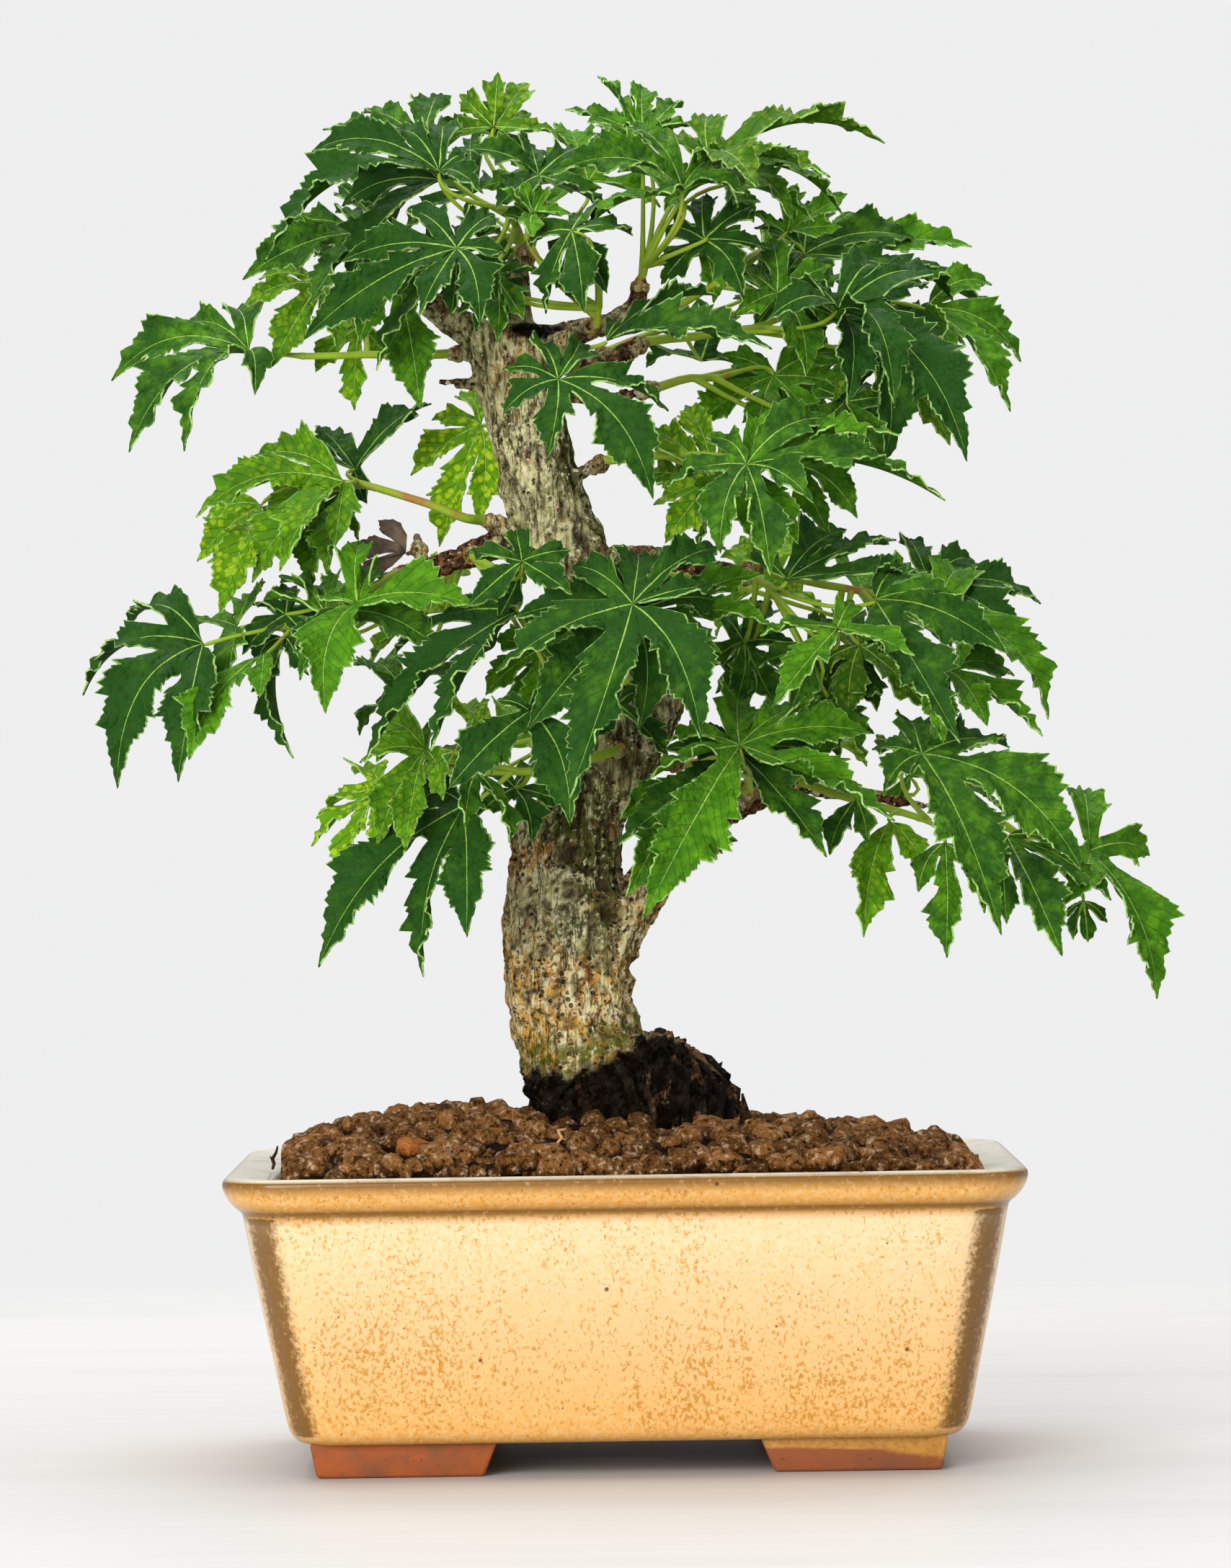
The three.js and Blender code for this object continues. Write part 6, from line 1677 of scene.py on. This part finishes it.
class BonsaiLeafSettings(PropertyGroup):
    blade_thickness: metres("Blade thickness", "Thickness of a leaf", 0.00034)
    tooth_step: metres("Tooth step", "Distance from row to row along a toothed edge", 0.00062, 0.0004)
    crinkle: metres("Crinkle", "How far the blade swells between its veins", 0.00062)
    stalk_radius: metres("Stalk radius", "Radius of a leaf stalk", 0.00042)
    stem_radius: metres("Stem radius", "Radius of a green stem at its foot", 0.00078)
    lobe_width: factor("Lobe width", "Half width of a lobe beside its length", 0.224)
    edge_lift: factor("Edge lift", "How far the edges turn up", 0.4)
    sinus: factor("Web", "How far the lobes of a leaf are joined", 0.3)
    spread: factor("Spread", "How far the outer lobes swing out before they droop", 0.1)
    twist: FloatProperty(name="Twist", description="How far a lobe turns about its midrib",
                         default=0.6, min=0, max=1.5, subtype="ANGLE")
    behind: factor("Leaves behind", "Size of the leaves that hang behind the shown ones", 0.78)
    deep_green: tint("Deep green", "Old leaves in the shade", (0.015, 0.060, 0.008))
    mid_green: tint("Green", "Most of the leaves", (0.050, 0.166, 0.006))
    light_green: tint("Light green", "Swellings between the veins", (0.125, 0.32, 0.010))
    spring_green: tint("Spring green", "Between the blisters of a young leaf", (0.11, 0.27, 0.006))
    young_green: tint("Young green", "New leaves", (0.34, 0.52, 0.013))
    vein_green: tint("Veins", "Midribs and stalks", (0.30, 0.50, 0.09))
    # The margin colour is a painted highlight along the leaf's edge
    margin_highlight: tint("Margin", "Painted highlight along the thin edge of a leaf", (0.38, 0.60, 0.17))
    tooth_red: tint("Red teeth", "Teeth of some leaves", (0.16, 0.035, 0.018))
    stalk_green: tint("Stalks", "Green stalks and stems", (0.24, 0.33, 0.008))
    stalk_red: tint("Blush", "Reddish side of the stalks", (0.36, 0.10, 0.045))
    dry_light: tint("Dry leaf", "The dead leaf", (0.20, 0.135, 0.085))
    dry_dark: tint("Dry creases", "Creases of the dead leaf", (0.06, 0.036, 0.024))


# Operators


class BONSAI_OT_stage(Operator):
    """Set up the camera, the pale floor and the soft lamps"""
    bl_idname = "bonsai.stage"
    bl_label = "Stage"

    def execute(self, context):
        stage = context.scene.bonsai_stage
        set_camera()
        lay_floor(stage)
        light_studio(stage)
        return {"FINISHED"}


class BONSAI_OT_pot(Operator):
    """Shape the glazed bowl with its rolled lip and bracket feet, and finish its drain screens"""
    bl_idname = "bonsai.pot"
    bl_label = "Pot"

    def execute(self, context):
        colours = context.scene.bonsai_pot
        shape_pot(glaze_finish(colours))
        shape_feet(clay_finish(colours))
        plastic = mesh_finish(colours)
        for name in ("drain_screen_left", "drain_screen_right"):
            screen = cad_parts[name]
            for slot in screen.material_slots:
                slot.material = plastic
        return {"FINISHED"}


class BONSAI_OT_soil(Operator):
    """Colour the fill and scatter the fired clay grains on it"""
    bl_idname = "bonsai.soil"
    bl_label = "Soil"

    def execute(self, context):
        settings = context.scene.bonsai_soil
        fill = soil_finish(settings, False)
        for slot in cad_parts["soil"].material_slots:
            slot.material = fill
        scatter_grains(settings, soil_finish(settings, True))
        return {"FINISHED"}


class BONSAI_OT_wood(Operator):
    """Shape the trunk's bark, the crown of roots and the buds"""
    bl_idname = "bonsai.wood"
    bl_label = "Trunk and roots"

    def execute(self, context):
        settings = context.scene.bonsai_wood
        bark = bark_finish(settings)
        skin = shape_trunk(settings, bark)
        wrap_roots(skin, bark)
        set_buds(bark)
        lay_litter(bark, straw_finish(context.scene.bonsai_soil))
        return {"FINISHED"}


class BONSAI_OT_leaves(Operator):
    """Grow the sprays of living leaves on their stems"""
    bl_idname = "bonsai.leaves"
    bl_label = "Leaves"

    def execute(self, context):
        settings = context.scene.bonsai_leaf
        materials = (leaf_finish(settings), stalk_finish(settings))
        for name, spray in SPRAYS.items():
            if name != "dried_leaf":
                grow_spray("foliage_" + name, spray, settings, materials, "spray_" + name,
                           dense=name in BUSHY)
        return {"FINISHED"}


class BONSAI_OT_dried_leaf(Operator):
    """Grow the one dead leaf that still hangs on"""
    bl_idname = "bonsai.dried_leaf"
    bl_label = "Dried leaf"

    def execute(self, context):
        settings = context.scene.bonsai_leaf
        dry = dry_leaf_finish(settings)
        grow_spray("leaf_dried", SPRAYS["dried_leaf"], settings, (dry, dry), "dried_leaf",
                   curl=3.0)
        return {"FINISHED"}


OPERATORS = (BONSAI_OT_stage, BONSAI_OT_pot, BONSAI_OT_soil, BONSAI_OT_wood, BONSAI_OT_leaves,
             BONSAI_OT_dried_leaf)


class BONSAI_PT_pieces(Panel):
    """The pieces of the bonsai, each with its button"""
    bl_idname = "BONSAI_PT_pieces"
    bl_label = "Potted Bonsai Maple"
    bl_space_type = "VIEW_3D"
    bl_region_type = "UI"
    bl_category = "Bonsai"

    def draw(self, context):
        for operator in OPERATORS:
            self.layout.operator(operator.bl_idname)


SETTINGS = {
    "bonsai_stage": BonsaiStageSettings,
    "bonsai_pot": BonsaiPotSettings,
    "bonsai_soil": BonsaiSoilSettings,
    "bonsai_wood": BonsaiWoodSettings,
    "bonsai_leaf": BonsaiLeafSettings,
}
CLASSES = (*SETTINGS.values(), *OPERATORS, BONSAI_PT_pieces)


def register():
    for made in CLASSES:
        bpy.utils.register_class(made)
    for name, group in SETTINGS.items():
        setattr(bpy.types.Scene, name, PointerProperty(type=group))


def unregister():
    for name in SETTINGS:
        delattr(bpy.types.Scene, name)
    for made in reversed(CLASSES):
        bpy.utils.unregister_class(made)


def main():
    register()
    bpy.ops.bonsai.stage()
    bpy.ops.bonsai.pot()
    bpy.ops.bonsai.soil()
    bpy.ops.bonsai.wood()
    bpy.ops.bonsai.leaves()
    bpy.ops.bonsai.dried_leaf()


if __name__ == "__main__":
    main()
